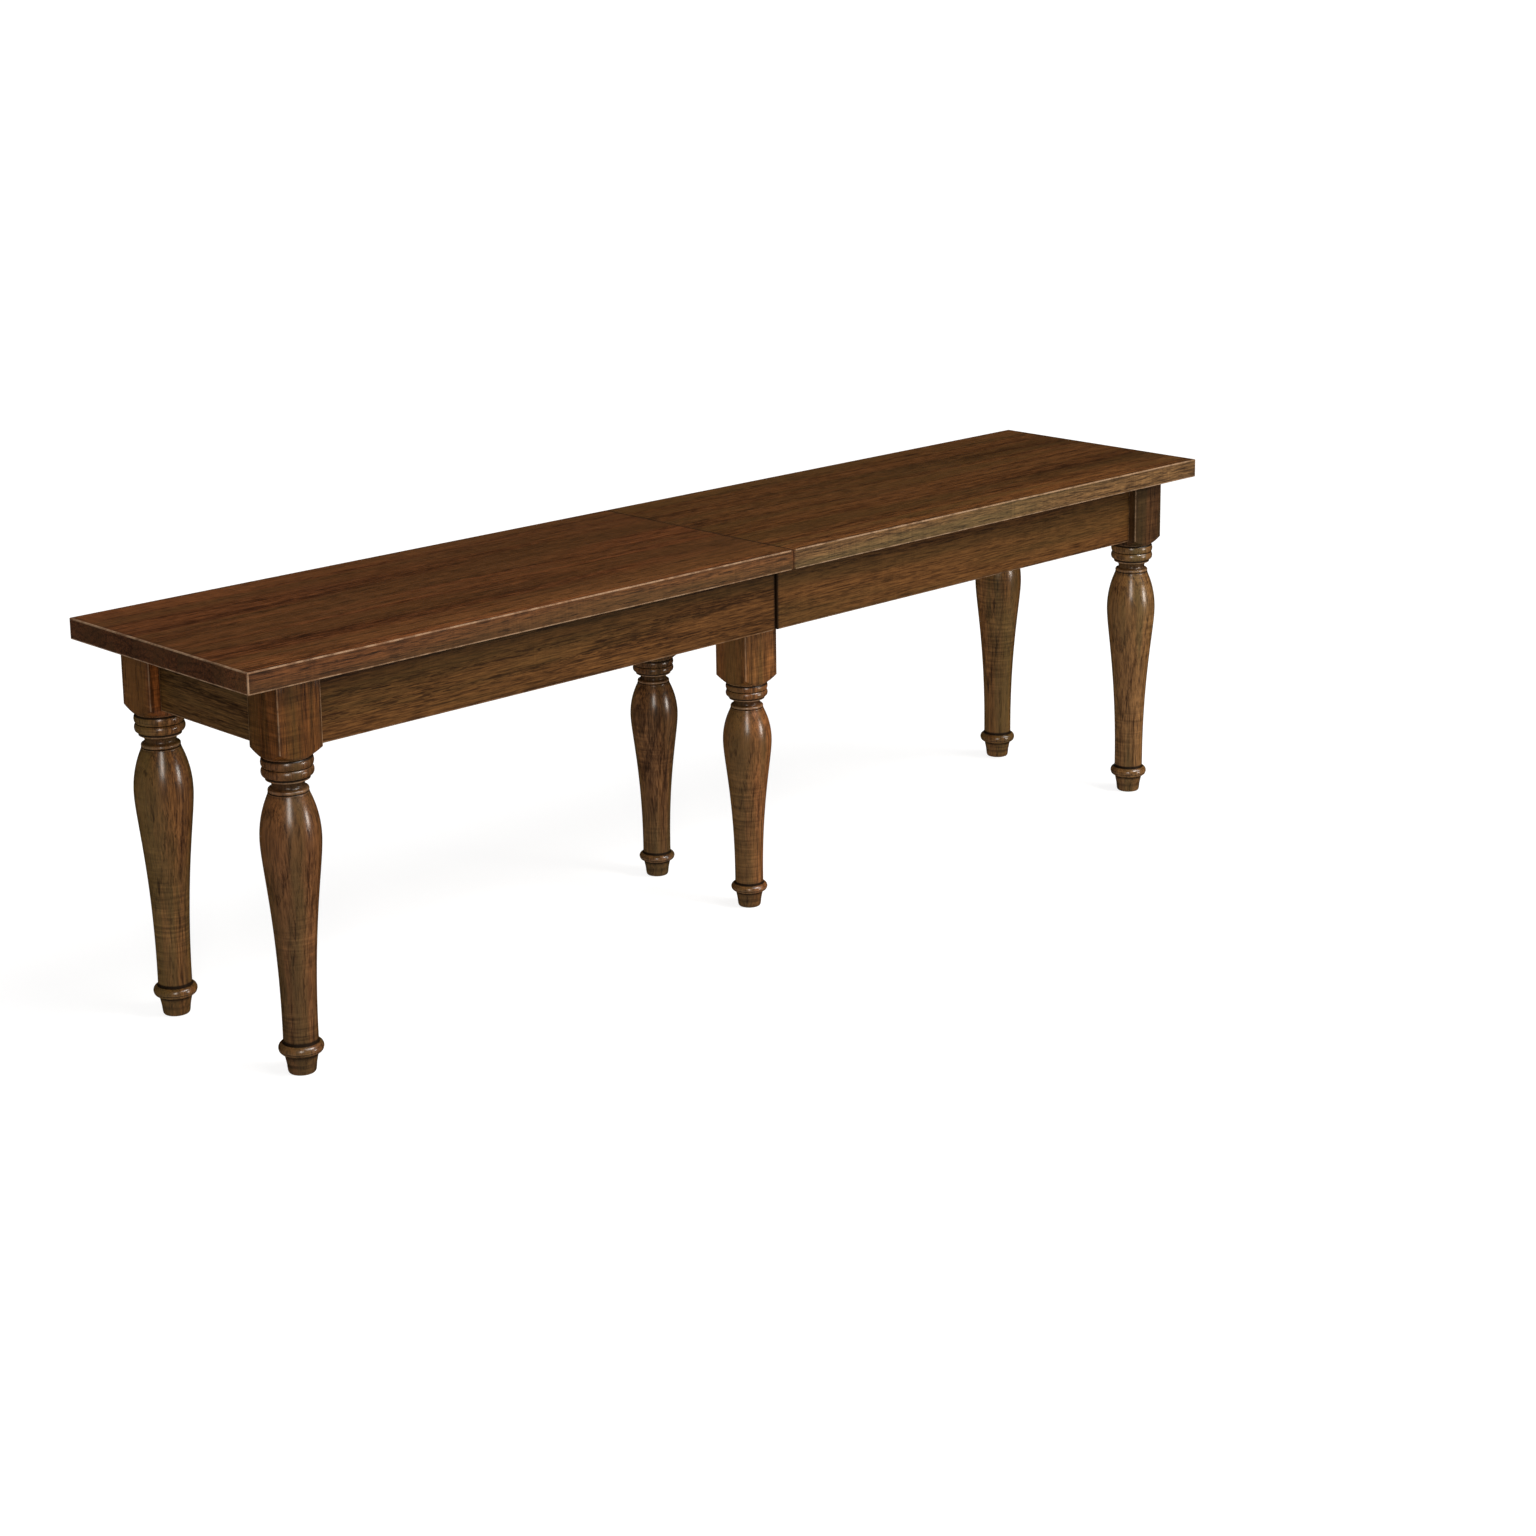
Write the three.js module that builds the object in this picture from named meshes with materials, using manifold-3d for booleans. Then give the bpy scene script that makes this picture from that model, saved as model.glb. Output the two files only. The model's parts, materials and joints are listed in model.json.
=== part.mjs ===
// Extending dining bench on turned legs.
// The seat is split across its middle. Each half, with its aprons and two corner legs, slides out from
// a centre frame that stands on two shorter legs. In each of the two wooden slides a steel pinion
// turns between two racks, so the halves always move out by the same amount.
// Frame: the origin is on the floor under the middle of the bench, +X runs along it, +Y to its back
// and +Z up. All lengths are in millimetres.

import * as THREE from "three";
import { mergeVertices } from "three/addons/utils/BufferGeometryUtils.js";
import Module from "manifold-3d";

const wasm = await Module();
wasm.setup();

// Seat
const SEAT_LENGTH = 1524;
const SEAT_DEPTH = 334;
const SEAT_HEIGHT = 457.2;
const SEAT_THICKNESS = 23.8;
const SEAT_ARRIS = 1.8;
const SEAT_CORNER = 2.5;
const SEAT_SPLIT = 0.6;

// Aprons, set back behind the faces of the leg blocks
const APRON_HEIGHT = 77.6;
const APRON_THICKNESS = 20;
const APRON_ARRIS = 1;
const APRON_SPLIT = 3;
const FRONT_SETBACK = 9.7;
const END_SETBACK = 12.5;

// Legs: the overhang is from the face of a corner leg's block to the edge of the seat
const FRONT_OVERHANG = 20.6;
const END_OVERHANG = 47.4;
const BLOCK_HEIGHT = 86.4;
const BLOCK_ARRIS = 1.2;
const CORNER_BLOCK_SIDE = 54;
const CORNER_BELLY_RADIUS = 32.2;
const CORNER_FOOT_HEIGHT = 22;
const CORNER_RING_HEIGHT = 12;
const CENTRE_BLOCK_SIDE = 51.8;
const CENTRE_BELLY_RADIUS = 29.5;
const CENTRE_FOOT_HEIGHT = 19.8;
const CENTRE_RING_HEIGHT = 9.6;
const TENON_RADIUS = 12;

// Corner braces with their hanger bolts
const BRACE_THICKNESS = 19;
const BRACE_STANDOFF = 10;
const BRACE_MARGIN = 3.5;
const LEG_CHAMFER = 6;
const BOLT_RADIUS = 4;
const BOLT_IN_LEG = 30;
const BOLT_STANDS_OUT = 13;
const NUT_RADIUS = 7.5;
const NUT_THICKNESS = 6.5;

// Slides: in each, a centre rail runs between the rail of the left half and that of the right half
const RAIL_HEIGHT = 39.8;
const RAIL_THICKNESS = 22;
const RAIL_ARRIS = 1;
const RAIL_RELIEF = 1;
const CENTRE_RAIL_THICKNESS = 21;
const CENTRE_RAIL_DROP = 2;
const RAIL_END_ROOM = 53;
const RAIL_OUTER_ROOM = 82;
const RAIL_LAP_AT_PINION = 19.5;
const CENTRE_RAIL_SHORTER = 10;
const GROOVE_END_WALL = 25;
const TONGUE_DEPTH = 6;
const TONGUE_ROOT_WIDTH = 8;
const TONGUE_TIP_WIDTH = 12;
const SLIDE_PLACE_SHARE = 0.4455;
const TONGUE_PLACE_SHARE = 0.28;
const RACK_PLACE_SHARE = 0.69;

// Rack and pinion
const TOOTH_MODULE = 4;
const PINION_TEETH = 10;
const PRESSURE_ANGLE = THREE.MathUtils.degToRad(25);
const ADDENDUM_SHARE = 0.85;
const DEDENDUM_SHARE = 1.1;
const TOOTH_BACKLASH = 0.4;
const PINION_WIDTH = 7;
const RACK_WIDTH = 8;
const RACK_BACK = 2.5;
const AXLE_RADIUS = 3;
const AXLE_HEAD_RADIUS = 7;
const AXLE_HEAD_THICKNESS = 1.2;

// Cross board that joins the centre legs to the centre rails
const BOLSTER_WIDTH = 110;
const BOLSTER_THICKNESS = 22;
const BOLSTER_ARRIS = 2;
const BOLSTER_INSET = 2;
const TENON_SHORTER = 1;

// Hook locks behind the front and rear aprons
const LOCK_REACH = 20;
const LOCK_DROP = 22;
const LOCK_PLATE_THICKNESS = 2;
const LOCK_PLATE_LENGTH = 28;
const LOCK_PLATE_HEIGHT = 26;
const LOCK_STUD_RADIUS = 3;
const LOCK_HEAD_RADIUS = 5;
const LOCK_HEAD_THICKNESS = 1.5;
const LEVER_THICKNESS = 3;
const LEVER_HALF_WIDTH = 7;
const LEVER_GRIP = 5;
const LEVER_PLAY = 0.5;
const HOOK_PLAY = 0.9;

// Dowels that line up the two halves of the seat
const DOWEL_RADIUS = 4.75;
const DOWEL_IN_SEAT = 16;
const DOWEL_STANDS_OUT = 12;
const DOWEL_NOSE = 1.5;
const DOWEL_PLACE_SHARES = [-0.34, 0, 0.34];

// Clearances
const GLUE_LINE = 0.25;
const SCREW_CLEARANCE = 0.35;
const PIN_CLEARANCE = 0.4;
const SLIDE_CLEARANCE = 0.6;
const SIDE_CLEARANCE = 1;
const CUT_OVERRUN = 2;

// How finely round stretches are divided
const LEG_FACETS = 16;
const PIN_FACETS = 10;
const NUT_SIDES = 6;
const VASE_STEPS = 5;
const SHOULDER_STEPS = 3;
const BEAD_STEPS = 4;
const ARRIS_STEPS = 2;
const ROUND_END_STEPS = 4;
const FLANK_STEPS = 2;

// Outline of a turned leg. A radius is a share of the belly radius. Heights are shares of the foot's
// height in the first table, and otherwise of the shaft between the foot ring and the block.
const FOOT_SHARES = [[0.447, 0], [0.472, 0.12], [0.492, 0.45], [0.568, 0.97]];
const RING_SHARES = { root: 0.585, crown: 0.748 };
const VASE_SHARES = [[0.581, 0.013], [0.56, 0.412], [1, 0.617], [1, 0.7155]];
const SHOULDER_SHARES = [[1, 0.7155], [1, 0.814], [0.647, 0.8723], [0.673, 0.876]];
const COLLAR_SHARES = [[0.648, 0.879], [0.664, 0.884], [0.64, 0.892], [0.55, 0.902]];
const CONE_SHARES = [[0.59, 0.908], [0.625, 0.918], [0.715, 0.925], [0.775, 0.934]];
const BEAD_SHARES = { root: 0.775, crown: 0.856, groove: 0.967, top: 1 };
const BLOCK_CUT_SHARE = 0.94;
const BLOCK_CUT_SLOPE = 0.76;
const CUT_REACH_SHARE = 0.8;
const TURNING_CORE_SHARE = 0.6;

// Sizes that follow from those above
const SEAT_UNDERSIDE = SEAT_HEIGHT - SEAT_THICKNESS;
const TIMBER_TOP = SEAT_UNDERSIDE - GLUE_LINE;
const CORNER_LEG_X = SEAT_LENGTH / 2 - END_OVERHANG - CORNER_BLOCK_SIDE / 2;
const CORNER_LEG_Y = SEAT_DEPTH / 2 - FRONT_OVERHANG - CORNER_BLOCK_SIDE / 2;
const APRON_OUTER_X = SEAT_LENGTH / 2 - END_OVERHANG - END_SETBACK;
const APRON_OUTER_Y = SEAT_DEPTH / 2 - FRONT_OVERHANG - FRONT_SETBACK;
const APRON_INNER_X = APRON_OUTER_X - APRON_THICKNESS;
const APRON_INNER_Y = APRON_OUTER_Y - APRON_THICKNESS;
const APRON_BOTTOM = TIMBER_TOP - APRON_HEIGHT;

const PITCH_RADIUS = TOOTH_MODULE * PINION_TEETH / 2;
const TOOTH_PITCH = Math.PI * TOOTH_MODULE;
const ADDENDUM = ADDENDUM_SHARE * TOOTH_MODULE;
const DEDENDUM = DEDENDUM_SHARE * TOOTH_MODULE;
const PINION_TIP_RADIUS = PITCH_RADIUS + ADDENDUM;
const TOOTH_WIDTH = TOOTH_PITCH / 2 - TOOTH_BACKLASH / 2;

// A rail reaches across the middle as far as the other half's end apron leaves room, and still laps the
// pinion at full travel. That gives 609.6 mm each way, room for four leaves 304.8 mm wide. A rack starts
// two teeth before the pinion, so that a tooth gap faces it at rest.
const RAIL_INNER_END = APRON_INNER_X - RAIL_END_ROOM;
const RAIL_OUTER_END = APRON_INNER_X - RAIL_OUTER_ROOM;
const TRAVEL = RAIL_INNER_END - RAIL_LAP_AT_PINION;
const RACK_OVERLAP = 2 * TOOTH_PITCH;
const RACK_TEETH = Math.floor((RAIL_INNER_END + RACK_OVERLAP) / TOOTH_PITCH);
const CENTRE_RAIL_END = RAIL_OUTER_END - CENTRE_RAIL_SHORTER;
const GROOVE_BLIND_END = CENTRE_RAIL_END - GROOVE_END_WALL;
const TONGUE_START = TRAVEL - GROOVE_BLIND_END + SLIDE_CLEARANCE;

const RAIL_BOTTOM = TIMBER_TOP - RAIL_HEIGHT;
const CENTRE_RAIL_BOTTOM = RAIL_BOTTOM - CENTRE_RAIL_DROP;
const SLIDE_Y = SLIDE_PLACE_SHARE * APRON_INNER_Y;
const RAIL_FACE = CENTRE_RAIL_THICKNESS / 2 + SLIDE_CLEARANCE;
const TONGUE_HEIGHT = TONGUE_PLACE_SHARE * RAIL_HEIGHT;
const RACK_HEIGHT = RACK_PLACE_SHARE * RAIL_HEIGHT;
const RACK_DEPTH = PITCH_RADIUS + DEDENDUM + RACK_BACK - RAIL_FACE;

const BOLSTER_TOP = CENTRE_RAIL_BOTTOM - GLUE_LINE;
const BOLSTER_BOTTOM = BOLSTER_TOP - BOLSTER_THICKNESS;
const LEVER_OUTER_Y = APRON_INNER_Y - GLUE_LINE - LOCK_PLATE_THICKNESS - LEVER_PLAY;
const LEVER_INNER_Y = LEVER_OUTER_Y - LEVER_THICKNESS;
const CENTRE_BLOCK_FACE = LEVER_INNER_Y - SIDE_CLEARANCE;
const CENTRE_LEG_Y = CENTRE_BLOCK_FACE - CENTRE_BLOCK_SIDE / 2;
const LOCK_HEIGHT = SEAT_UNDERSIDE - LOCK_DROP;

const BRACE_TOP = RAIL_BOTTOM - BRACE_MARGIN;
const BRACE_BOTTOM = APRON_BOTTOM + BRACE_MARGIN;
const BRACE_OUTER = CORNER_BLOCK_SIDE * Math.SQRT1_2 - LEG_CHAMFER + BRACE_STANDOFF;
const BRACE_INNER = BRACE_OUTER + BRACE_THICKNESS;
const BOLT_HEIGHT = (BRACE_TOP + BRACE_BOTTOM) / 2;
const LEG_FLAT = CORNER_BLOCK_SIDE * Math.SQRT1_2 - LEG_CHAMFER;

// The two legs, each with its block's top and the height of its turned part
const CORNER_LEG = {
  side: CORNER_BLOCK_SIDE,
  belly: CORNER_BELLY_RADIUS,
  foot: CORNER_FOOT_HEIGHT,
  ring: CORNER_RING_HEIGHT,
  top: TIMBER_TOP,
};
const CENTRE_LEG = {
  side: CENTRE_BLOCK_SIDE,
  belly: CENTRE_BELLY_RADIUS,
  foot: CENTRE_FOOT_HEIGHT,
  ring: CENTRE_RING_HEIGHT,
  top: BOLSTER_BOTTOM - GLUE_LINE,
};

// A closed geometry as a solid that can be joined and cut.
function solidOf(geometry) {
  const bare = geometry.index ? geometry.toNonIndexed() : geometry.clone();
  bare.deleteAttribute("normal");
  bare.deleteAttribute("uv");
  const merged = mergeVertices(bare);
  return new wasm.Manifold(new wasm.Mesh({
    numProp: 3,
    vertProperties: merged.attributes.position.array,
    triVerts: new Uint32Array(merged.index.array),
  }));
}

// A solid back as a geometry.
function geometryOf(solid) {
  const mesh = solid.getMesh();
  const geometry = new THREE.BufferGeometry();
  geometry.setAttribute("position", new THREE.BufferAttribute(mesh.vertProperties, 3));
  geometry.setIndex(new THREE.BufferAttribute(mesh.triVerts, 1));
  geometry.computeVertexNormals();
  return geometry;
}

// The first geometry with the others cut out of it.
function cut(body, ...tools) {
  return geometryOf(tools.reduce((rest, tool) => rest.subtract(solidOf(tool)), solidOf(body)));
}

// Geometries that overlap, joined into one.
function join(body, ...others) {
  return geometryOf(others.reduce((whole, other) => whole.add(solidOf(other)), solidOf(body)));
}

// What two geometries have in common.
function common(first, second) {
  return geometryOf(solidOf(first).intersect(solidOf(second)));
}

// A shape from [across, up] points.
function outline(points) {
  return new THREE.Shape(points.map(([across, up]) => new THREE.Vector2(across, up)));
}

// A rectangle between two corners, its corners cut at 45 degrees by a small flat.
function rectangle(left, bottom, right, top, flat = 0) {
  if (flat === 0) return outline([[left, bottom], [right, bottom], [right, top], [left, top]]);
  return outline([
    [left + flat, bottom], [right - flat, bottom], [right, bottom + flat], [right, top - flat],
    [right - flat, top], [left + flat, top], [left, top - flat], [left, bottom + flat],
  ]);
}

// A plan shape carried up from one height to another.
function upright(shape, bottom, top) {
  const geometry = new THREE.ExtrudeGeometry(shape, { depth: top - bottom, bevelEnabled: false });
  return geometry.translate(0, 0, bottom);
}

// A shape in [Y, Z] carried along X from one place to another.
function alongX(shape, start, end) {
  const geometry = new THREE.ExtrudeGeometry(shape, { depth: end - start, bevelEnabled: false });
  geometry.applyMatrix4(new THREE.Matrix4().set(0, 0, 1, 0, 1, 0, 0, 0, 0, 1, 0, 0, 0, 0, 0, 1));
  return geometry.translate(start, 0, 0);
}

// A shape in [X, Z] carried along Y from one place to another.
function alongY(shape, start, end) {
  const geometry = new THREE.ExtrudeGeometry(shape,
    { depth: end - start, bevelEnabled: false, curveSegments: ROUND_END_STEPS });
  geometry.applyMatrix4(new THREE.Matrix4().set(1, 0, 0, 0, 0, 0, -1, 0, 0, 1, 0, 0, 0, 0, 0, 1));
  return geometry.translate(0, end, 0);
}

// A box between two corners.
function boxBetween([x0, y0, z0], [x1, y1, z1]) {
  const box = new THREE.BoxGeometry(x1 - x0, y1 - y0, z1 - z0);
  return box.translate((x0 + x1) / 2, (y0 + y1) / 2, (z0 + z1) / 2);
}

// A board whose top and bottom edges are rounded over.
function easedBoard([x0, y0, z0], [x1, y1, z1], arris, corner = 0) {
  const board = new THREE.ExtrudeGeometry(rectangle(x0, y0, x1, y1, corner), {
    depth: z1 - z0 - 2 * arris,
    bevelThickness: arris,
    bevelSize: arris,
    bevelOffset: -arris,
    bevelSegments: ARRIS_STEPS,
  });
  return board.translate(0, 0, z0 + arris);
}

// A solid turned about Z from [radius, height] points that start and end on the axis.
function turned(points, facets) {
  const profile = points.map(([radius, height]) => new THREE.Vector2(radius, height));
  return new THREE.LatheGeometry(profile, facets).rotateX(Math.PI / 2);
}

// A round bar along Z.
function bar(radius, bottom, top, facets = PIN_FACETS) {
  return turned([[0, bottom], [radius, bottom], [radius, top], [0, top]], facets);
}

// A round bar along X, and one along Y.
function barAlongX(radius, start, end) {
  return bar(radius, start, end).rotateY(Math.PI / 2);
}
function barAlongY(radius, start, end) {
  return bar(radius, -end, -start).rotateX(Math.PI / 2);
}

// A half-round bead between two heights, as half an ellipse standing out from its root radius.
function bead(root, crown, bottom, top) {
  const middle = (bottom + top) / 2;
  const steps = Array.from({ length: BEAD_STEPS + 1 }, (_, step) => Math.PI * step / BEAD_STEPS);
  return steps.map((angle) => [
    root + (crown - root) * Math.sin(angle),
    middle - (top - bottom) / 2 * Math.cos(angle),
  ]);
}

// Points along a curve with two handles.
function curved(points, steps) {
  const [a, b, c, d] = points.map(([radius, height]) => new THREE.Vector2(radius, height));
  return new THREE.CubicBezierCurve(a, b, c, d).getPoints(steps).map((point) => [point.x, point.y]);
}

// The half outline of a leg's turned part: foot, ring, vase, collar, neck and two beads. It ends in a
// core that stands up into the block.
function turningOutline(leg) {
  const height = leg.top - BLOCK_HEIGHT;
  const shaftFoot = leg.foot + leg.ring;
  const radius = (share) => share * leg.belly;
  const place = (share) => shaftFoot + share * (height - shaftFoot);
  const placed = (shares) => shares.map(([wide, high]) => [radius(wide), place(high)]);
  const bottomBead = CONE_SHARES.at(-1)[1];
  return [
    [0, 0],
    ...FOOT_SHARES.map(([wide, high]) => [radius(wide), high * leg.foot]),
    ...bead(radius(RING_SHARES.root), radius(RING_SHARES.crown), leg.foot, shaftFoot),
    ...curved(placed(VASE_SHARES), VASE_STEPS),
    ...curved(placed(SHOULDER_SHARES), SHOULDER_STEPS).slice(1),
    ...placed(COLLAR_SHARES),
    ...placed(CONE_SHARES).slice(0, -1),
    ...bead(radius(BEAD_SHARES.root), radius(BEAD_SHARES.crown),
      place(bottomBead), place(BEAD_SHARES.groove)),
    ...bead(radius(BEAD_SHARES.root), radius(BEAD_SHARES.crown),
      place(BEAD_SHARES.groove), place(BEAD_SHARES.top)).slice(1),
    [radius(TURNING_CORE_SHARE), height],
    [radius(TURNING_CORE_SHARE), height + BLOCK_ARRIS],
    [0, height + BLOCK_ARRIS],
  ];
}

// The square block of a leg, its lower corners cut away by a cone as the lathe leaves them.
function legBlock(leg) {
  const bottom = leg.top - BLOCK_HEIGHT;
  const half = leg.side / 2;
  const rootRadius = BLOCK_CUT_SHARE * half;
  const reach = CUT_REACH_SHARE * leg.side;
  const dip = BLOCK_CUT_SLOPE * CUT_OVERRUN;
  const square = upright(rectangle(-half, -half, half, half, BLOCK_ARRIS), bottom, leg.top);
  const cone = turned([
    [0, bottom - dip],
    [rootRadius - CUT_OVERRUN, bottom - dip],
    [reach, bottom + BLOCK_CUT_SLOPE * (reach - rootRadius)],
    [reach, leg.top + CUT_OVERRUN],
    [0, leg.top + CUT_OVERRUN],
  ], LEG_FACETS);
  return common(square, cone);
}

// A corner leg for the +X +Y corner: its inner corner is planed flat for the hanger bolt's hole.
function cornerLeg() {
  const whole = join(legBlock(CORNER_LEG), turned(turningOutline(CORNER_LEG), LEG_FACETS));
  const bottom = BRACE_BOTTOM - BRACE_MARGIN;
  const chip = boxBetween(
    [LEG_FLAT, -CORNER_BLOCK_SIDE, bottom],
    [LEG_FLAT + CORNER_BLOCK_SIDE, CORNER_BLOCK_SIDE, CORNER_LEG.top + CUT_OVERRUN],
  );
  const hole = barAlongX(BOLT_RADIUS + SCREW_CLEARANCE, LEG_FLAT - BOLT_IN_LEG - GLUE_LINE,
    LEG_FLAT + CUT_OVERRUN).translate(0, 0, BOLT_HEIGHT);
  return cut(whole, chip.rotateZ(-Math.PI * 3 / 4), hole.rotateZ(-Math.PI * 3 / 4));
}

// A centre leg, with a round tenon on its block that is glued into the cross board.
function centreLeg() {
  const tenonTop = BOLSTER_TOP - TENON_SHORTER;
  const tenon = bar(TENON_RADIUS, CENTRE_LEG.top - CUT_OVERRUN, tenonTop);
  return join(legBlock(CENTRE_LEG), turned(turningOutline(CENTRE_LEG), LEG_FACETS), tenon);
}

// One half of the seat, on the side that the sign gives. Both halves have dowel holes in their joint.
function seatHalf(side) {
  const near = side * SEAT_SPLIT / 2;
  const far = side * SEAT_LENGTH / 2;
  const board = easedBoard(
    [Math.min(near, far), -SEAT_DEPTH / 2, SEAT_UNDERSIDE],
    [Math.max(near, far), SEAT_DEPTH / 2, SEAT_HEIGHT],
    SEAT_ARRIS, SEAT_CORNER,
  );
  const depth = (side < 0 ? DOWEL_IN_SEAT : DOWEL_STANDS_OUT) + CUT_OVERRUN;
  const holes = DOWEL_PLACE_SHARES.map((share) => {
    const [start, end] = side < 0 ? [-depth, 0] : [0, depth];
    const hole = barAlongX(DOWEL_RADIUS + SCREW_CLEARANCE, start, end);
    return hole.translate(0, share * SEAT_DEPTH, SEAT_UNDERSIDE + SEAT_THICKNESS / 2);
  });
  return cut(board, ...holes);
}

// A dowel with a tapered nose, lying along X through the joint of the seat.
function dowel() {
  const pin = turned([
    [0, -DOWEL_IN_SEAT],
    [DOWEL_RADIUS, -DOWEL_IN_SEAT],
    [DOWEL_RADIUS, DOWEL_STANDS_OUT - DOWEL_NOSE],
    [DOWEL_RADIUS - DOWEL_NOSE, DOWEL_STANDS_OUT],
    [0, DOWEL_STANDS_OUT],
  ], PIN_FACETS);
  return pin.rotateY(Math.PI / 2);
}

// The long apron of one half, front or rear, from the middle of the bench to the corner leg.
function longApron(side, back) {
  const near = side * APRON_SPLIT / 2;
  const far = side * (CORNER_LEG_X - CORNER_BLOCK_SIDE / 2 - GLUE_LINE);
  const inner = back * APRON_INNER_Y;
  const outer = back * APRON_OUTER_Y;
  return easedBoard(
    [Math.min(near, far), Math.min(inner, outer), APRON_BOTTOM],
    [Math.max(near, far), Math.max(inner, outer), TIMBER_TOP],
    APRON_ARRIS,
  );
}

// The short apron between the two corner legs of one half.
function endApron(side) {
  const inner = side * APRON_INNER_X;
  const outer = side * APRON_OUTER_X;
  const half = CORNER_LEG_Y - CORNER_BLOCK_SIDE / 2 - GLUE_LINE;
  return easedBoard(
    [Math.min(inner, outer), -half, APRON_BOTTOM],
    [Math.max(inner, outer), half, TIMBER_TOP],
    APRON_ARRIS,
  );
}

// A brace across a corner, between the inner faces of the long and the end apron. Its place is given
// from the leg's axis, and its bolt hole lies on the diagonal.
function cornerBrace(side, back) {
  const toLong = APRON_INNER_Y - GLUE_LINE - CORNER_LEG_Y;
  const toEnd = APRON_INNER_X - GLUE_LINE - CORNER_LEG_X;
  const outer = -BRACE_OUTER * Math.SQRT2;
  const inner = -BRACE_INNER * Math.SQRT2;
  const plan = outline([
    [outer - toLong, toLong], [toEnd, outer - toEnd], [toEnd, inner - toEnd], [inner - toLong, toLong],
  ].map(([across, up]) => [side * across, back * up]));
  const hole = barAlongX(BOLT_RADIUS + SCREW_CLEARANCE, BRACE_OUTER - CUT_OVERRUN,
    BRACE_INNER + CUT_OVERRUN).translate(0, 0, BOLT_HEIGHT);
  return cut(upright(plan, BRACE_BOTTOM, BRACE_TOP), hole.rotateZ(inwardAngle(side, back)));
}

// The angle about Z of the diagonal that runs from a corner leg to the inside of the bench.
function inwardAngle(side, back) {
  return Math.atan2(-back, -side);
}

// A hanger bolt lying along X, from inside the leg to beyond its nut.
function hangerBolt() {
  return barAlongX(BOLT_RADIUS, LEG_FLAT - BOLT_IN_LEG, BRACE_INNER + BOLT_STANDS_OUT);
}

// The six-sided nut that draws the leg up to the brace.
function hangerNut() {
  const seat = BRACE_INNER + GLUE_LINE;
  const blank = bar(NUT_RADIUS, seat, seat + NUT_THICKNESS, NUT_SIDES).rotateY(Math.PI / 2);
  const hole = barAlongX(BOLT_RADIUS + SCREW_CLEARANCE, seat - CUT_OVERRUN,
    seat + NUT_THICKNESS + CUT_OVERRUN);
  return cut(blank, hole);
}

// The dovetail of a slide as a shape in [Y, Z]: it stands out from a face at Y 0 in the direction that
// facing gives, and its neck reaches back behind the face. With a clearance it is the groove's shape.
function dovetail(facing, clearance) {
  const neck = -facing * CUT_OVERRUN;
  const tip = facing * (TONGUE_DEPTH + clearance);
  const rootHalf = TONGUE_ROOT_WIDTH / 2 + clearance;
  const tipHalf = TONGUE_TIP_WIDTH / 2 + clearance;
  return outline([
    [neck, TONGUE_HEIGHT - rootHalf], [0, TONGUE_HEIGHT - rootHalf], [tip, TONGUE_HEIGHT - tipHalf],
    [tip, TONGUE_HEIGHT + tipHalf], [0, TONGUE_HEIGHT + rootHalf], [neck, TONGUE_HEIGHT + rootHalf],
  ]);
}

// The rail that one half of the bench carries, as the left half has it. Its inner face is at Y 0, and
// the dovetail tongue and the rack's channel look in the direction that facing gives. Where it runs
// on under the other half, its top is planed down a little.
function movingRail(facing) {
  const back = -facing * RAIL_THICKNESS;
  const body = alongX(
    rectangle(Math.min(0, back), 0, Math.max(0, back), RAIL_HEIGHT, RAIL_ARRIS),
    -RAIL_OUTER_END, RAIL_INNER_END,
  );
  const tongue = alongX(dovetail(facing, 0), TONGUE_START, RAIL_INNER_END);
  const relief = boxBetween([-SEAT_SPLIT, -RAIL_THICKNESS - CUT_OVERRUN, RAIL_HEIGHT - RAIL_RELIEF],
    [RAIL_INNER_END + CUT_OVERRUN, RAIL_THICKNESS + CUT_OVERRUN, RAIL_HEIGHT + CUT_OVERRUN]);
  const floor = -facing * (RACK_DEPTH + GLUE_LINE);
  const mouth = facing * CUT_OVERRUN;
  const half = RACK_WIDTH / 2 + GLUE_LINE;
  const channel = alongX(
    rectangle(Math.min(floor, mouth), RACK_HEIGHT - half, Math.max(floor, mouth), RACK_HEIGHT + half),
    -RACK_OVERLAP - GLUE_LINE, RAIL_INNER_END + CUT_OVERRUN,
  );
  return cut(join(body, tongue), channel, relief);
}

// A rack with its back on the floor of the channel. Its tooth gaps lie at whole pitches from X 0.
function rack(facing) {
  const tip = RAIL_FACE - PITCH_RADIUS + ADDENDUM;
  const root = RAIL_FACE - PITCH_RADIUS - DEDENDUM;
  const back = -RACK_DEPTH;
  const lean = Math.tan(PRESSURE_ANGLE);
  const tipHalf = TOOTH_WIDTH / 2 - ADDENDUM * lean;
  const rootHalf = TOOTH_WIDTH / 2 + DEDENDUM * lean;
  const start = -RACK_OVERLAP;
  const end = start + RACK_TEETH * TOOTH_PITCH;
  const points = [[start, back], [start, root]];
  for (let tooth = 0; tooth < RACK_TEETH; tooth += 1) {
    const middle = start + (tooth + 0.5) * TOOTH_PITCH;
    points.push([middle - rootHalf, root], [middle - tipHalf, tip]);
    points.push([middle + tipHalf, tip], [middle + rootHalf, root]);
  }
  points.push([end, root], [end, back]);
  const plan = outline(points.map(([along, across]) => [along, facing * across]));
  return upright(plan, RACK_HEIGHT - RACK_WIDTH / 2, RACK_HEIGHT + RACK_WIDTH / 2);
}

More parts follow.
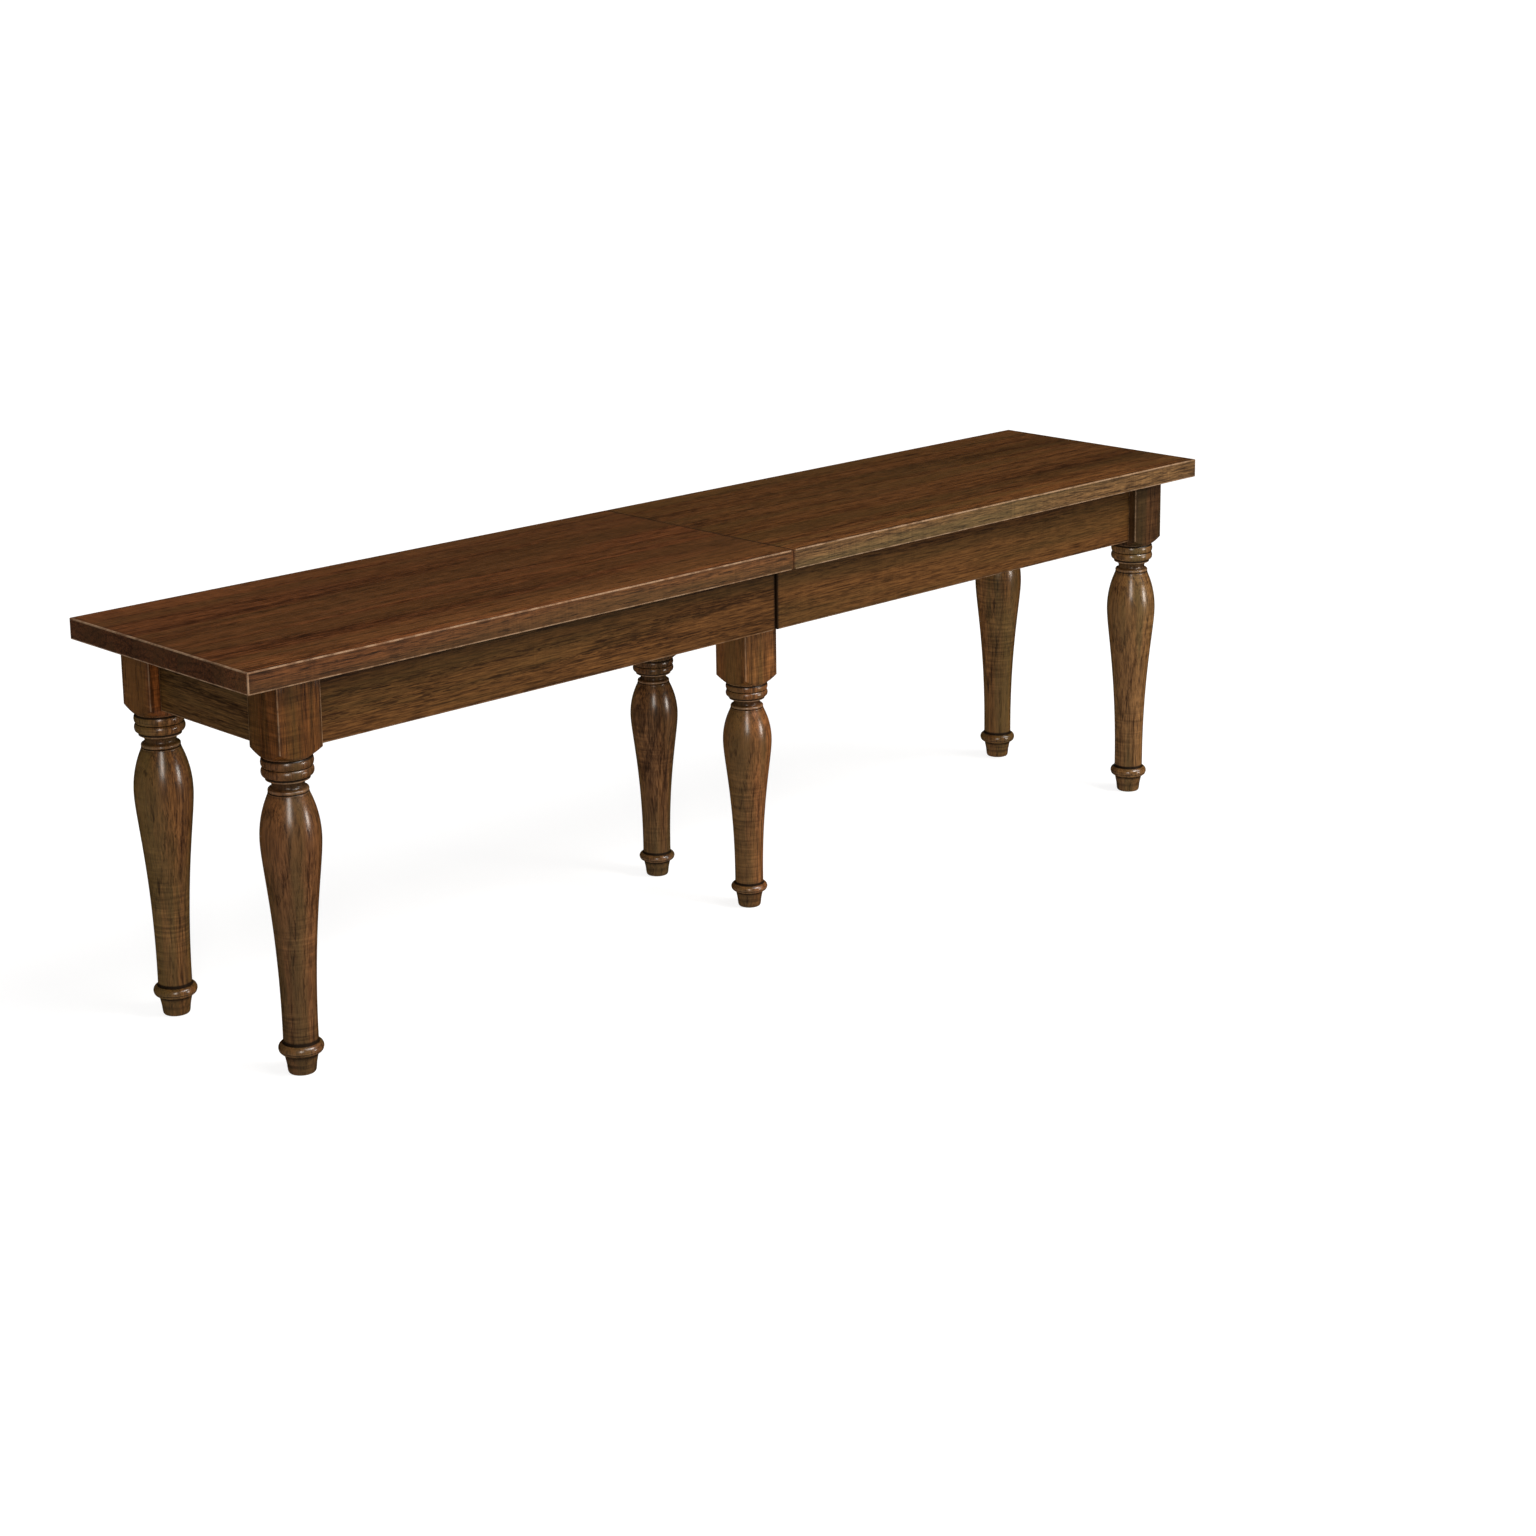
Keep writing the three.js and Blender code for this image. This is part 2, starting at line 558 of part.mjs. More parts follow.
// The rail between the two moving ones, standing on the cross board. The groove on its outward side
// is open at +X and the other at -X: their blind ends stop the tongues at full travel.
function centreRail(outward) {
  const half = CENTRE_RAIL_THICKNESS / 2;
  const body = alongX(rectangle(-half, 0, half, RAIL_HEIGHT, RAIL_ARRIS), -CENTRE_RAIL_END,
    CENTRE_RAIL_END);
  const grooves = [outward, -outward].map((face) => {
    const blind = -GROOVE_BLIND_END;
    const open = CENTRE_RAIL_END + CUT_OVERRUN;
    const [start, end] = face === outward ? [blind, open] : [-open, -blind];
    return alongX(dovetail(-face, SLIDE_CLEARANCE), start, end)
      .translate(0, face * half, CENTRE_RAIL_DROP);
  });
  const reach = PINION_TIP_RADIUS + SIDE_CLEARANCE;
  const windowHalf = PINION_WIDTH / 2 + GLUE_LINE;
  const middle = RACK_HEIGHT + CENTRE_RAIL_DROP;
  const window = boxBetween([-reach, -half - CUT_OVERRUN, middle - windowHalf],
    [reach, half + CUT_OVERRUN, middle + windowHalf]);
  const hole = bar(AXLE_RADIUS + PIN_CLEARANCE, -CUT_OVERRUN, RAIL_HEIGHT + CUT_OVERRUN);
  return cut(body, ...grooves, window, hole);
}

// The pin that the pinion turns on, hanging by its head from the top of the centre rail.
function pinionAxle() {
  const seat = RAIL_HEIGHT + GLUE_LINE;
  return turned([
    [0, 0],
    [AXLE_RADIUS, 0],
    [AXLE_RADIUS, seat],
    [AXLE_HEAD_RADIUS, seat],
    [AXLE_HEAD_RADIUS, seat + AXLE_HEAD_THICKNESS],
    [0, seat + AXLE_HEAD_THICKNESS],
  ], PIN_FACETS);
}

// The involute of an angle.
function involute(angle) {
  return Math.tan(angle) - angle;
}

// A spur pinion with involute teeth, one of them pointing along +Y. A flank starts at the base circle,
// and a straight line joins it to the root.
function pinion() {
  const baseRadius = PITCH_RADIUS * Math.cos(PRESSURE_ANGLE);
  const rootRadius = PITCH_RADIUS - DEDENDUM;
  const pitchHalf = TOOTH_WIDTH / 2 / PITCH_RADIUS;
  const halfAngle = (radius) =>
    pitchHalf + involute(PRESSURE_ANGLE) - involute(Math.acos(Math.min(1, baseRadius / radius)));
  const flank = [[rootRadius, halfAngle(baseRadius)]];
  for (let step = 0; step <= FLANK_STEPS; step += 1) {
    const radius = baseRadius + (PINION_TIP_RADIUS - baseRadius) * step / FLANK_STEPS;
    flank.push([radius, halfAngle(radius)]);
  }
  const points = [];
  for (let tooth = 0; tooth < PINION_TEETH; tooth += 1) {
    const middle = Math.PI / 2 + 2 * Math.PI * tooth / PINION_TEETH;
    const at = ([radius, half], way) =>
      [radius * Math.cos(middle + way * half), radius * Math.sin(middle + way * half)];
    points.push(...flank.map((point) => at(point, -1)));
    points.push(...flank.toReversed().map((point) => at(point, 1)));
  }
  const blank = upright(outline(points), -PINION_WIDTH / 2, PINION_WIDTH / 2);
  const bore = bar(AXLE_RADIUS + PIN_CLEARANCE, -PINION_WIDTH, PINION_WIDTH);
  return cut(blank, bore);
}

// The board that lies across under the centre rails, with a hole for each centre leg's tenon.
function bolster() {
  const half = CENTRE_BLOCK_FACE - BOLSTER_INSET;
  const board = easedBoard([-BOLSTER_WIDTH / 2, -half, BOLSTER_BOTTOM],
    [BOLSTER_WIDTH / 2, half, BOLSTER_TOP], BOLSTER_ARRIS, BOLSTER_ARRIS);
  const holes = [-1, 1].map((back) => bar(TENON_RADIUS + SCREW_CLEARANCE,
    BOLSTER_BOTTOM - CUT_OVERRUN, BOLSTER_TOP + CUT_OVERRUN).translate(0, back * CENTRE_LEG_Y, 0));
  return cut(board, ...holes);
}

// Where something starts and ends along Y that stands inward from an apron's face at Y 0.
function inwardSpan(inward, near, far) {
  return inward > 0 ? [near, far] : [-far, -near];
}

// A lock's plate with a headed stud, standing inward from an apron.
function lockStud(inward) {
  const halfLength = LOCK_PLATE_LENGTH / 2;
  const halfHeight = LOCK_PLATE_HEIGHT / 2;
  const plateFace = GLUE_LINE + LOCK_PLATE_THICKNESS;
  const headSeat = plateFace + 2 * LEVER_PLAY + LEVER_THICKNESS;
  const plate = alongY(
    rectangle(-halfLength, -halfHeight, halfLength, halfHeight, LOCK_HEAD_RADIUS),
    ...inwardSpan(inward, GLUE_LINE, plateFace),
  );
  const stud = barAlongY(LOCK_STUD_RADIUS,
    ...inwardSpan(inward, GLUE_LINE + LEVER_PLAY, headSeat + LEVER_PLAY));
  const head = barAlongY(LOCK_HEAD_RADIUS,
    ...inwardSpan(inward, headSeat, headSeat + LOCK_HEAD_THICKNESS));
  return join(plate, stud, head);
}

// The hook lever hanging down from its stud. Its slot opens towards +X, the way it swings.
function lockLever(inward) {
  const reach = 2 * LOCK_REACH;
  const slot = LOCK_STUD_RADIUS + HOOK_PLAY;
  const shape = new THREE.Shape();
  shape.moveTo(LEVER_HALF_WIDTH, -reach + slot);
  shape.lineTo(LEVER_HALF_WIDTH, 0);
  shape.absarc(0, 0, LEVER_HALF_WIDTH, 0, Math.PI, false);
  shape.lineTo(-LEVER_HALF_WIDTH, -reach - LEVER_GRIP);
  shape.absarc(0, -reach - LEVER_GRIP, LEVER_HALF_WIDTH, Math.PI, 2 * Math.PI, false);
  shape.lineTo(LEVER_HALF_WIDTH, -reach - slot);
  shape.lineTo(0, -reach - slot);
  shape.absarc(0, -reach, slot, -Math.PI / 2, Math.PI / 2, true);
  shape.closePath();
  const near = GLUE_LINE + LOCK_PLATE_THICKNESS + LEVER_PLAY;
  const [start, end] = inwardSpan(inward, near, near + LEVER_THICKNESS);
  const blade = alongY(shape, start, end);
  const hole = barAlongY(LOCK_STUD_RADIUS + PIN_CLEARANCE, start - CUT_OVERRUN, end + CUT_OVERRUN);
  return cut(blade, hole);
}

// Finishes
function seatWood() {
  return new THREE.MeshStandardMaterial({ color: 0x55301b, roughness: 0.42, metalness: 0 });
}
function apronWood() {
  return new THREE.MeshStandardMaterial({ color: 0x4b2c18, roughness: 0.5, metalness: 0 });
}
function legWood() {
  return new THREE.MeshStandardMaterial({ color: 0x54381f, roughness: 0.4, metalness: 0 });
}
function plainWood() {
  return new THREE.MeshStandardMaterial({ color: 0xb08a5c, roughness: 0.65, metalness: 0 });
}
function steel() {
  return new THREE.MeshStandardMaterial({ color: 0x8d9095, roughness: 0.38, metalness: 1 });
}

// A named piece in a group, at its place and turned about Z.
function add(group, name, geometry, material, place = [0, 0, 0], turn = 0) {
  const piece = new THREE.Mesh(geometry, material);
  piece.name = name;
  piece.position.set(...place);
  piece.rotation.z = turn;
  group.add(piece);
}

const ENDS = [["left", -1], ["right", 1]];
const FACES = [["front", -1], ["rear", 1]];

// A corner of one half: its leg, brace, hanger bolt and nut.
function addCorner(group, [end, side], [face, back]) {
  const corner = new THREE.Group();
  corner.position.set(side * CORNER_LEG_X, back * CORNER_LEG_Y, 0);
  const inward = inwardAngle(side, back);
  const name = face + "_" + end;
  add(corner, "leg_" + name, cornerLeg(), legWood(), [0, 0, 0], inward + Math.PI * 3 / 4);
  add(corner, "corner_brace_" + name, cornerBrace(side, back), plainWood());
  add(corner, "hanger_bolt_" + name, hangerBolt(), steel(), [0, 0, BOLT_HEIGHT], inward);
  add(corner, "hanger_nut_" + name, hangerNut(), steel(), [0, 0, BOLT_HEIGHT], inward);
  group.add(corner);
}

// The rail and rack of one half in the front or rear slide. The left half has the outer rail of the
// slide and the right half the inner one, which is the same rail turned end for end.
function addMovingRail(group, [end, side], [face, back]) {
  const outward = side < 0 ? back : -back;
  const facing = side < 0 ? -outward : outward;
  const place = [0, back * SLIDE_Y + outward * RAIL_FACE, RAIL_BOTTOM];
  const turn = side < 0 ? 0 : Math.PI;
  const name = end + "_" + face;
  add(group, "slide_rail_" + name, movingRail(facing), plainWood(), place, turn);
  add(group, "rack_" + name, rack(facing), steel(), place, turn);
}

// One half of the bench.
function benchHalf([end, side]) {
  const half = new THREE.Group();
  add(half, "seat_top_" + end, seatHalf(side), seatWood());
  add(half, "apron_end_" + end, endApron(side), apronWood());
  for (const [face, back] of FACES) {
    add(half, "apron_" + face + "_" + end, longApron(side, back), apronWood());
    addCorner(half, [end, side], [face, back]);
    addMovingRail(half, [end, side], [face, back]);
    const place = [side * LOCK_REACH, back * APRON_INNER_Y, LOCK_HEIGHT];
    add(half, (side < 0 ? "lock_base_" : "lock_strike_") + face, lockStud(-back), steel(), place);
  }
  return half;
}

// The dowels, glued into the left half of the seat.
function addDowels(group) {
  DOWEL_PLACE_SHARES.forEach((share, index) => {
    const place = [0, share * SEAT_DEPTH, SEAT_UNDERSIDE + SEAT_THICKNESS / 2];
    add(group, "alignment_dowel_" + (index + 1), dowel(), plainWood(), place);
  });
}

// The centre frame: two legs, the cross board, the centre rails and their axles.
function centreFrame() {
  const frame = new THREE.Group();
  add(frame, "centre_bolster", bolster(), plainWood());
  for (const [face, back] of FACES) {
    const place = [0, back * SLIDE_Y, CENTRE_RAIL_BOTTOM];
    add(frame, "leg_" + face + "_centre", centreLeg(), legWood(), [0, back * CENTRE_LEG_Y, 0]);
    add(frame, "centre_rail_" + face, centreRail(back), plainWood(), place);
    add(frame, "pinion_axle_" + face, pinionAxle(), steel(), place);
  }
  return frame;
}

// The pieces that turn: a pinion in each slide and the levers of the locks.
function turningPieces() {
  const group = new THREE.Group();
  for (const [face, back] of FACES) {
    add(group, "pinion_" + face, pinion(), steel(),
      [0, back * SLIDE_Y, RAIL_BOTTOM + RACK_HEIGHT]);
    add(group, "lock_lever_" + face, lockLever(-back), steel(),
      [-LOCK_REACH, back * APRON_INNER_Y, LOCK_HEIGHT]);
  }
  return group;
}

const bench = new THREE.Group();
bench.name = "extending_bench";
const halves = ENDS.map(benchHalf);
addDowels(halves[0]);
bench.add(...halves, centreFrame(), turningPieces());

export default bench;
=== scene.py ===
"""Extending dining bench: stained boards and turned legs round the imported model.

Everything is in metres, in the model's frame: X along the bench, the front towards -Y, Z up, the
floor at Z 0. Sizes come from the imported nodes, so a finer piece stands where its solid does.
"""

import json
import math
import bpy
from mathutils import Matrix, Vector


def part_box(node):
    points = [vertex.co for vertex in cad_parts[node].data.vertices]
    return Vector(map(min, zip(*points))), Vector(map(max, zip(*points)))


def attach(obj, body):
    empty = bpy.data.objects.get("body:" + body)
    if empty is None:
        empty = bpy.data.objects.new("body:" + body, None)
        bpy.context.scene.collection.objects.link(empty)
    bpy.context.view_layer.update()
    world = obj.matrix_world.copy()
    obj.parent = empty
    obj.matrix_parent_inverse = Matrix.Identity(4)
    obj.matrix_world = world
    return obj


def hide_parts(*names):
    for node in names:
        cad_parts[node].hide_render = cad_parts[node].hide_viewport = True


bl_info = {
    "name": "Extending dining bench",
    "version": (1, 0, 0),
    "blender": (4, 5, 0),
    "location": "3D View > Sidebar > Bench",
    "description": "Builds the visible pieces and finishes of an extending dining bench",
    "category": "Add Mesh",
}

import bpy
import numpy as np
from mathutils import Euler, Matrix, Vector

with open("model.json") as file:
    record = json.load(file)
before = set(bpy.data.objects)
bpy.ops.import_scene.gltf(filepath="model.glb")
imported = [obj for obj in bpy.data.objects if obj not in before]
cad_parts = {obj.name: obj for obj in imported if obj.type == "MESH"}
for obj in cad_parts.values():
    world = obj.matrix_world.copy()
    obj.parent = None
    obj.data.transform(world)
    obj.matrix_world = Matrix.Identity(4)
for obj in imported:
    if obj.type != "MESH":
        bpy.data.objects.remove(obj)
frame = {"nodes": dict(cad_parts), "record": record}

MM = 0.001
ENDS = ("left", "right")
SIDES = ("front", "rear")
BODY_OF = {node: body for body, nodes in frame["record"]["behaviour"]["bodies"].items()
           for node in nodes}
SLOT_OF = {part["node"]: part["material_slot"] for part in frame["record"]["subparts"]}

# Distances from an arris, in metres, at which a flat face gets a line of points, and the edge mask
# on these lines: it falls from 1 on the arris to 0 at the last of them. From this mask the finish
# paints the arris paler, partly as rubbing and partly as a painted highlight, and paints shade
# beside it.
EDGE_LINES = np.array([1.2, 3.0, 5.5, 8.0]) * MM
EDGE_FALL = 1 - EDGE_LINES / EDGE_LINES[-1]
ON_LINES, OFF_LINES = np.ones(4), np.zeros(4)

# Points on the quarter circle of an arris.
ARC_STEPS = 7

# The turned outline of a leg. A radius is a share of the belly's radius. A height is a share of the
# foot's height in the first table, and elsewhere of the shaft between the foot ring and the block.
# A curve is four control points, and a bead is root radius, crown radius, bottom and top.
FOOT_OUTLINE = ((0.400, 0.0), (0.428, 0.015), (0.450, 0.05), (0.463, 0.1), (0.472, 0.17),
                (0.482, 0.3), (0.492, 0.45), (0.512, 0.6), (0.538, 0.78), (0.558, 0.92),
                (0.568, 0.97))
RING_ROOT, RING_CROWN = 0.585, 0.748
VASE_CURVE = ((0.581, 0.013), (0.56, 0.412), (1.0, 0.617), (1.0, 0.7155))
SHOULDER_CURVE = ((1.0, 0.7155), (1.0, 0.814), (0.647, 0.8723), (0.673, 0.876))
COLLAR = (0.64, 0.668, 0.879, 0.891)
NECK_CURVE = ((0.64, 0.892), (0.6, 0.8925), (0.538, 0.896), (0.536, 0.903))
COVE_CURVE = ((0.537, 0.905), (0.545, 0.914), (0.59, 0.9195), (0.662, 0.9205))
FILLET = ((0.7, 0.9212), (0.724, 0.9225), (0.731, 0.9255), (0.729, 0.931), (0.738, 0.9335))
BEADS = ((0.772, 0.858, 0.9345, 0.966), (0.772, 0.858, 0.966, 1.0))

# A fine line cut into the ring of the foot: share of the ring's height, depth and width.
RING_LINE, LINE_DEPTH, LINE_WIDTH = 0.34, 0.45 * MM, 0.45 * MM

# The lathe cuts the block to a cone whose radius starts at this share of half the block, and which
# rises by this much for each step outwards. A narrow rim is left standing at its foot.
BLOCK_CUT, CUT_SLOPE = 0.94, 0.76
RIM_HEIGHT, RIM_LEDGE = 1.9 * MM, 2.6 * MM

# Rows of a leg's surface above its outline. Under the block: shares of the way out to the cut. Up
# the rim: shares of its ledge and of its height, edge mask and groove mask. On the cone: shares of
# the way out to the block's faces. Above the cone: millimetres over its meeting with the faces.
UNDER_ROWS = (0.25, 0.6, 0.95)
RIM_ROWS = ((0.0, 0.15, 0.9, 0.0), (0.1, 0.5, 1.0, 0.0), (0.1, 0.85, 0.5, 0.3),
            (0.15, 1.0, 0.0, 1.0))
CONE_ROWS = (0.0, 0.12, 0.3, 0.65, 0.9, 1.0)
CREASE_ROWS = (0.6, 1.4, 2.6, 4.5, 7.0)
BLOCK_LEDGE, BLOCK_EASE, TENON_EASE = 14 * MM, 0.4 * MM, 1.5 * MM

# Crowns and grooves stand out from the mean radius within this reach; this depth fills their mask.
# The groove mask is held back in the neck and cove, and is faint on the beads and the foot.
RELIEF_REACH, RELIEF_DEPTH, RELIEF_STEP = 1.9 * MM, 0.3 * MM, 0.2 * MM
COVE_DARKENING, FAINT_DARKENING = 0.16, 0.08

# Where a leg is darkened: faintly on the beads from this share of the block's height up and on the
# foot up to this far above it, and as painted shade from this far below the block, where it meets
# the beads. It fades over the second value.
BEAD_DARKENING, FOOT_DARKENING, BLOCK_SHADE = (0.86, 0.03), (2 * MM, 3 * MM), (2.2 * MM, 1.4 * MM)


# Property groups: the sizes and colours that a user would change.

class BenchSizes(bpy.types.PropertyGroup):
    """How far the boards and blocks are eased, and how finely the turning is drawn."""

    seat_arris: bpy.props.FloatProperty(
        name="Seat arris", description="Radius of the seat's long edges and outer ends",
        default=1.1 * MM, min=0.2 * MM, subtype="DISTANCE", unit="LENGTH")
    split_arris: bpy.props.FloatProperty(
        name="Split arris", description="Radius of the edges where the two halves of the seat meet",
        default=1.0 * MM, min=0.1 * MM, subtype="DISTANCE", unit="LENGTH")
    apron_arris: bpy.props.FloatProperty(
        name="Apron arris", description="Radius of the aprons' edges",
        default=1.0 * MM, min=0.1 * MM, subtype="DISTANCE", unit="LENGTH")
    block_arris: bpy.props.FloatProperty(
        name="Block arris", description="Radius of the upright edges of a leg's block",
        default=0.8 * MM, min=0.1 * MM, subtype="DISTANCE", unit="LENGTH")
    turns: bpy.props.IntProperty(
        name="Turning steps", description="Points round a leg, before those of its block's edges",
        default=96, min=24, max=240)


class BenchFinish(bpy.types.PropertyGroup):
    """The stain, glazing and lacquer of the bench, and the colours of its painted shade and painted
    highlights.
    """

    light: bpy.props.FloatVectorProperty(
        name="Stain, light grain", description="Stained colour of the palest grain",
        default=(0.165, 0.060, 0.0150), subtype="COLOR", min=0, max=1)
    dark: bpy.props.FloatVectorProperty(
        name="Stain, dark grain", description="Stained colour of the darkest grain",
        default=(0.034, 0.0110, 0.0026), subtype="COLOR", min=0, max=1)
    olive: bpy.props.FloatVectorProperty(
        name="Stain, olive drift", description="Colour that the stain drifts to in slow patches",
        default=(0.078, 0.041, 0.0105), subtype="COLOR", min=0, max=1)
    pore: bpy.props.FloatVectorProperty(
        name="Pores", description="Colour of the stain that stays in the pores",
        default=(0.013, 0.0048, 0.0015), subtype="COLOR", min=0, max=1)
    # Darkens the grooves, as glazing that is partly painted shade, and the end grain; it is also
    # the painted shade beside the arrises and under a leg's block.
    glaze: bpy.props.FloatVectorProperty(
        name="Glaze", description="Dark glaze left in grooves and beside arrises",
        default=(0.0085, 0.0044, 0.0018), subtype="COLOR", min=0, max=1)
    # Paler arrises and crowns of beads and rings: partly rubbed by use, partly a painted highlight.
    worn: bpy.props.FloatVectorProperty(
        name="Worn edges", description="Colour of arrises and crowns rubbed thin",
        default=(0.270, 0.172, 0.102), subtype="COLOR", min=0, max=1)
    bare_light: bpy.props.FloatVectorProperty(
        name="Bare wood, light grain", description="Palest grain of the plain slides and braces",
        default=(0.560, 0.380, 0.215), subtype="COLOR", min=0, max=1)
    bare_dark: bpy.props.FloatVectorProperty(
        name="Bare wood, dark grain", description="Darkest grain of the plain slides and braces",
        default=(0.380, 0.225, 0.110), subtype="COLOR", min=0, max=1)
    plating: bpy.props.FloatVectorProperty(
        name="Plating", description="Zinc plating of the steel pieces",
        default=(0.560, 0.565, 0.560), subtype="COLOR", min=0, max=1)


class BenchStudio(bpy.types.PropertyGroup):
    """The camera, the floor and the lights."""

    lens: bpy.props.FloatProperty(
        name="Lens", description="Focal length on a sensor 36 mm wide", default=68.06, min=10,
        unit="CAMERA")
    floor: bpy.props.FloatVectorProperty(
        name="Floor", description="Colour of the floor, which also glows to keep shadows faint",
        default=(0.25, 0.25, 0.25), subtype="COLOR", min=0, max=1)
    sky: bpy.props.FloatProperty(
        name="Sky", description="Strength of the light from all round", default=0.25, min=0)
    wall: bpy.props.FloatProperty(
        name="Wall", description="Brightness of the white wall that the camera sees past the floor",
        default=1.0, min=0)
    key: bpy.props.FloatProperty(
        name="Key", description="Strength of the soft light from the front and right", default=2.6,
        min=0)
    fill: bpy.props.FloatProperty(
        name="Fill", description="Strength of the weak light from behind", default=0.85, min=0)
    strip: bpy.props.FloatProperty(
        name="Tall panel", description="Power of the tall panel near the camera", default=58.0,
        min=0, unit="POWER")
    high: bpy.props.FloatProperty(
        name="High panel", description="Power of the small panel above the front, which lights the "
        "tops of beads and arrises", default=46.0, min=0, unit="POWER")
    side: bpy.props.FloatProperty(
        name="Low panel", description="Power of the low panel at the right", default=40.0, min=0,
        unit="POWER")


# Meshes: rings of points on a grid.

def grid_faces(rings, points, loop=False):
    """Four-sided faces of a closed grid: face (i, j) joins points j and j + 1 of rings i and i + 1.
    In a loop the last ring joins the first."""
    rows = rings if loop else rings - 1
    ring, point = np.meshgrid(np.arange(rows), np.arange(points), indexing="ij")
    after, above = (point + 1) % points, (ring + 1) % rings
    ring, above = ring * points, above * points
    corners = (ring + point, ring + after, above + after, above + point)
    return np.stack(corners, axis=-1).reshape(-1, 4)


def signed_volume(points, faces):
    """Sum over a fan of triangles (a, b, c) in each face of a . (b x c) / 6."""
    a = points[faces[:, 0]]
    total = 0.0
    for step in range(1, faces.shape[1] - 1):
        b, c = points[faces[:, step]], points[faces[:, step + 1]]
        total += np.einsum("ij,ij->", a, np.cross(b, c))
    return total / 6


def skin(name, rings, masks=None, crease=32, loop=False):
    """A closed surface through rings of points [ring, point, XYZ], with a flat face over the first
    and the last ring, or none where the rings form a loop. An array [copy, ring, point, XYZ] gives
    one such surface for each copy. Faces are turned outwards where the signed volume comes out
    negative. Masks are point values [ring, point] kept as attributes."""
    count, around = rings.shape[-3:-1]
    points = rings.reshape(-1, 3)
    starts = np.arange(0, len(points), count * around)[:, None, None]
    quads = (grid_faces(count, around, loop) + starts).reshape(-1, 4)
    caps = np.array([np.arange(around)[::-1], (count - 1) * around + np.arange(around)])
    caps = (caps + starts).reshape(-1, around)[:0 if loop else None]
    if signed_volume(points, quads) + signed_volume(points, caps) < 0:
        quads, caps = quads[:, ::-1], caps[:, ::-1]
    mesh = bpy.data.meshes.new(name)
    mesh.from_pydata(points.tolist(), [], quads.tolist() + caps.tolist())
    for mask, values in (masks or {}).items():
        layer = mesh.attributes.new(mask, "FLOAT", "POINT")
        layer.data.foreach_set("value", np.ascontiguousarray(values, dtype=np.float32).ravel())
    mesh.shade_smooth()
    mesh.set_sharp_from_angle(angle=math.radians(crease))
    piece = bpy.data.objects.new(name, mesh)
    bpy.context.scene.collection.objects.link(piece)
    return piece


def stand_for(piece, node, material):
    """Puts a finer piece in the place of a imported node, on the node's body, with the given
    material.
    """
    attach(piece, BODY_OF[node])
    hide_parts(node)
    piece.data.materials.append(material)


def dress(node, material):
    """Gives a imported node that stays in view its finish."""
    mesh = frame["nodes"][node].data
    mesh.materials.clear()
    mesh.materials.append(material)


def bounds_of(node):
    """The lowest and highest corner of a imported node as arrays."""
    low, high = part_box(node)
    return np.array(low), np.array(high)


def full_turn(count):
    """Evenly spaced angles round a circle."""
    return np.arange(count) * 2 * math.pi / count


def section(half, radius, inset):
    """The section of an eased board for each inset, as [inset, point, 2]: a rectangle of the given
    half sizes whose corners are quarter circles. An inset moves the outline inwards: the corner's
    radius shrinks with it, and past the radius the corner's centre moves in. Lines of points on the
    flats, at EDGE_LINES from each corner, shrink with the flats."""
    inset = inset[:, None]
    centre = half - radius
    moved = half - np.maximum(radius, inset)[..., None]
    small = np.maximum(radius - inset, 0.02 * MM)
    reach = half - inset[..., None]
    arc = np.linspace(0, math.pi / 2, ARC_STEPS)
    across, up = ((centre[part] - EDGE_LINES) * moved[..., part] / centre[part] for part in (0, 1))
    corner = moved + small[..., None] * np.stack((np.cos(arc), np.sin(arc)), -1)
    top = np.stack((across, np.broadcast_to(reach[..., 1], across.shape)), -1)
    side = np.stack((np.broadcast_to(reach[..., 0], up.shape), up), -1)[:, ::-1]
    quarter = np.concatenate((side, corner, top), axis=1)
    back = quarter[:, ::-1]
    return np.concatenate((quarter, back * (-1, 1), -quarter, back * (1, -1)), axis=1)


def all_round(on_side, on_arc, on_top):
    """A mask for the points of a section from its values on one quarter: on the side's lines from
    the middle up, on the quarter circle, and on the top's lines from the corner in."""
    quarter = np.concatenate((on_side, on_arc, on_top))
    return np.concatenate((quarter, quarter[::-1], quarter, quarter[::-1]))


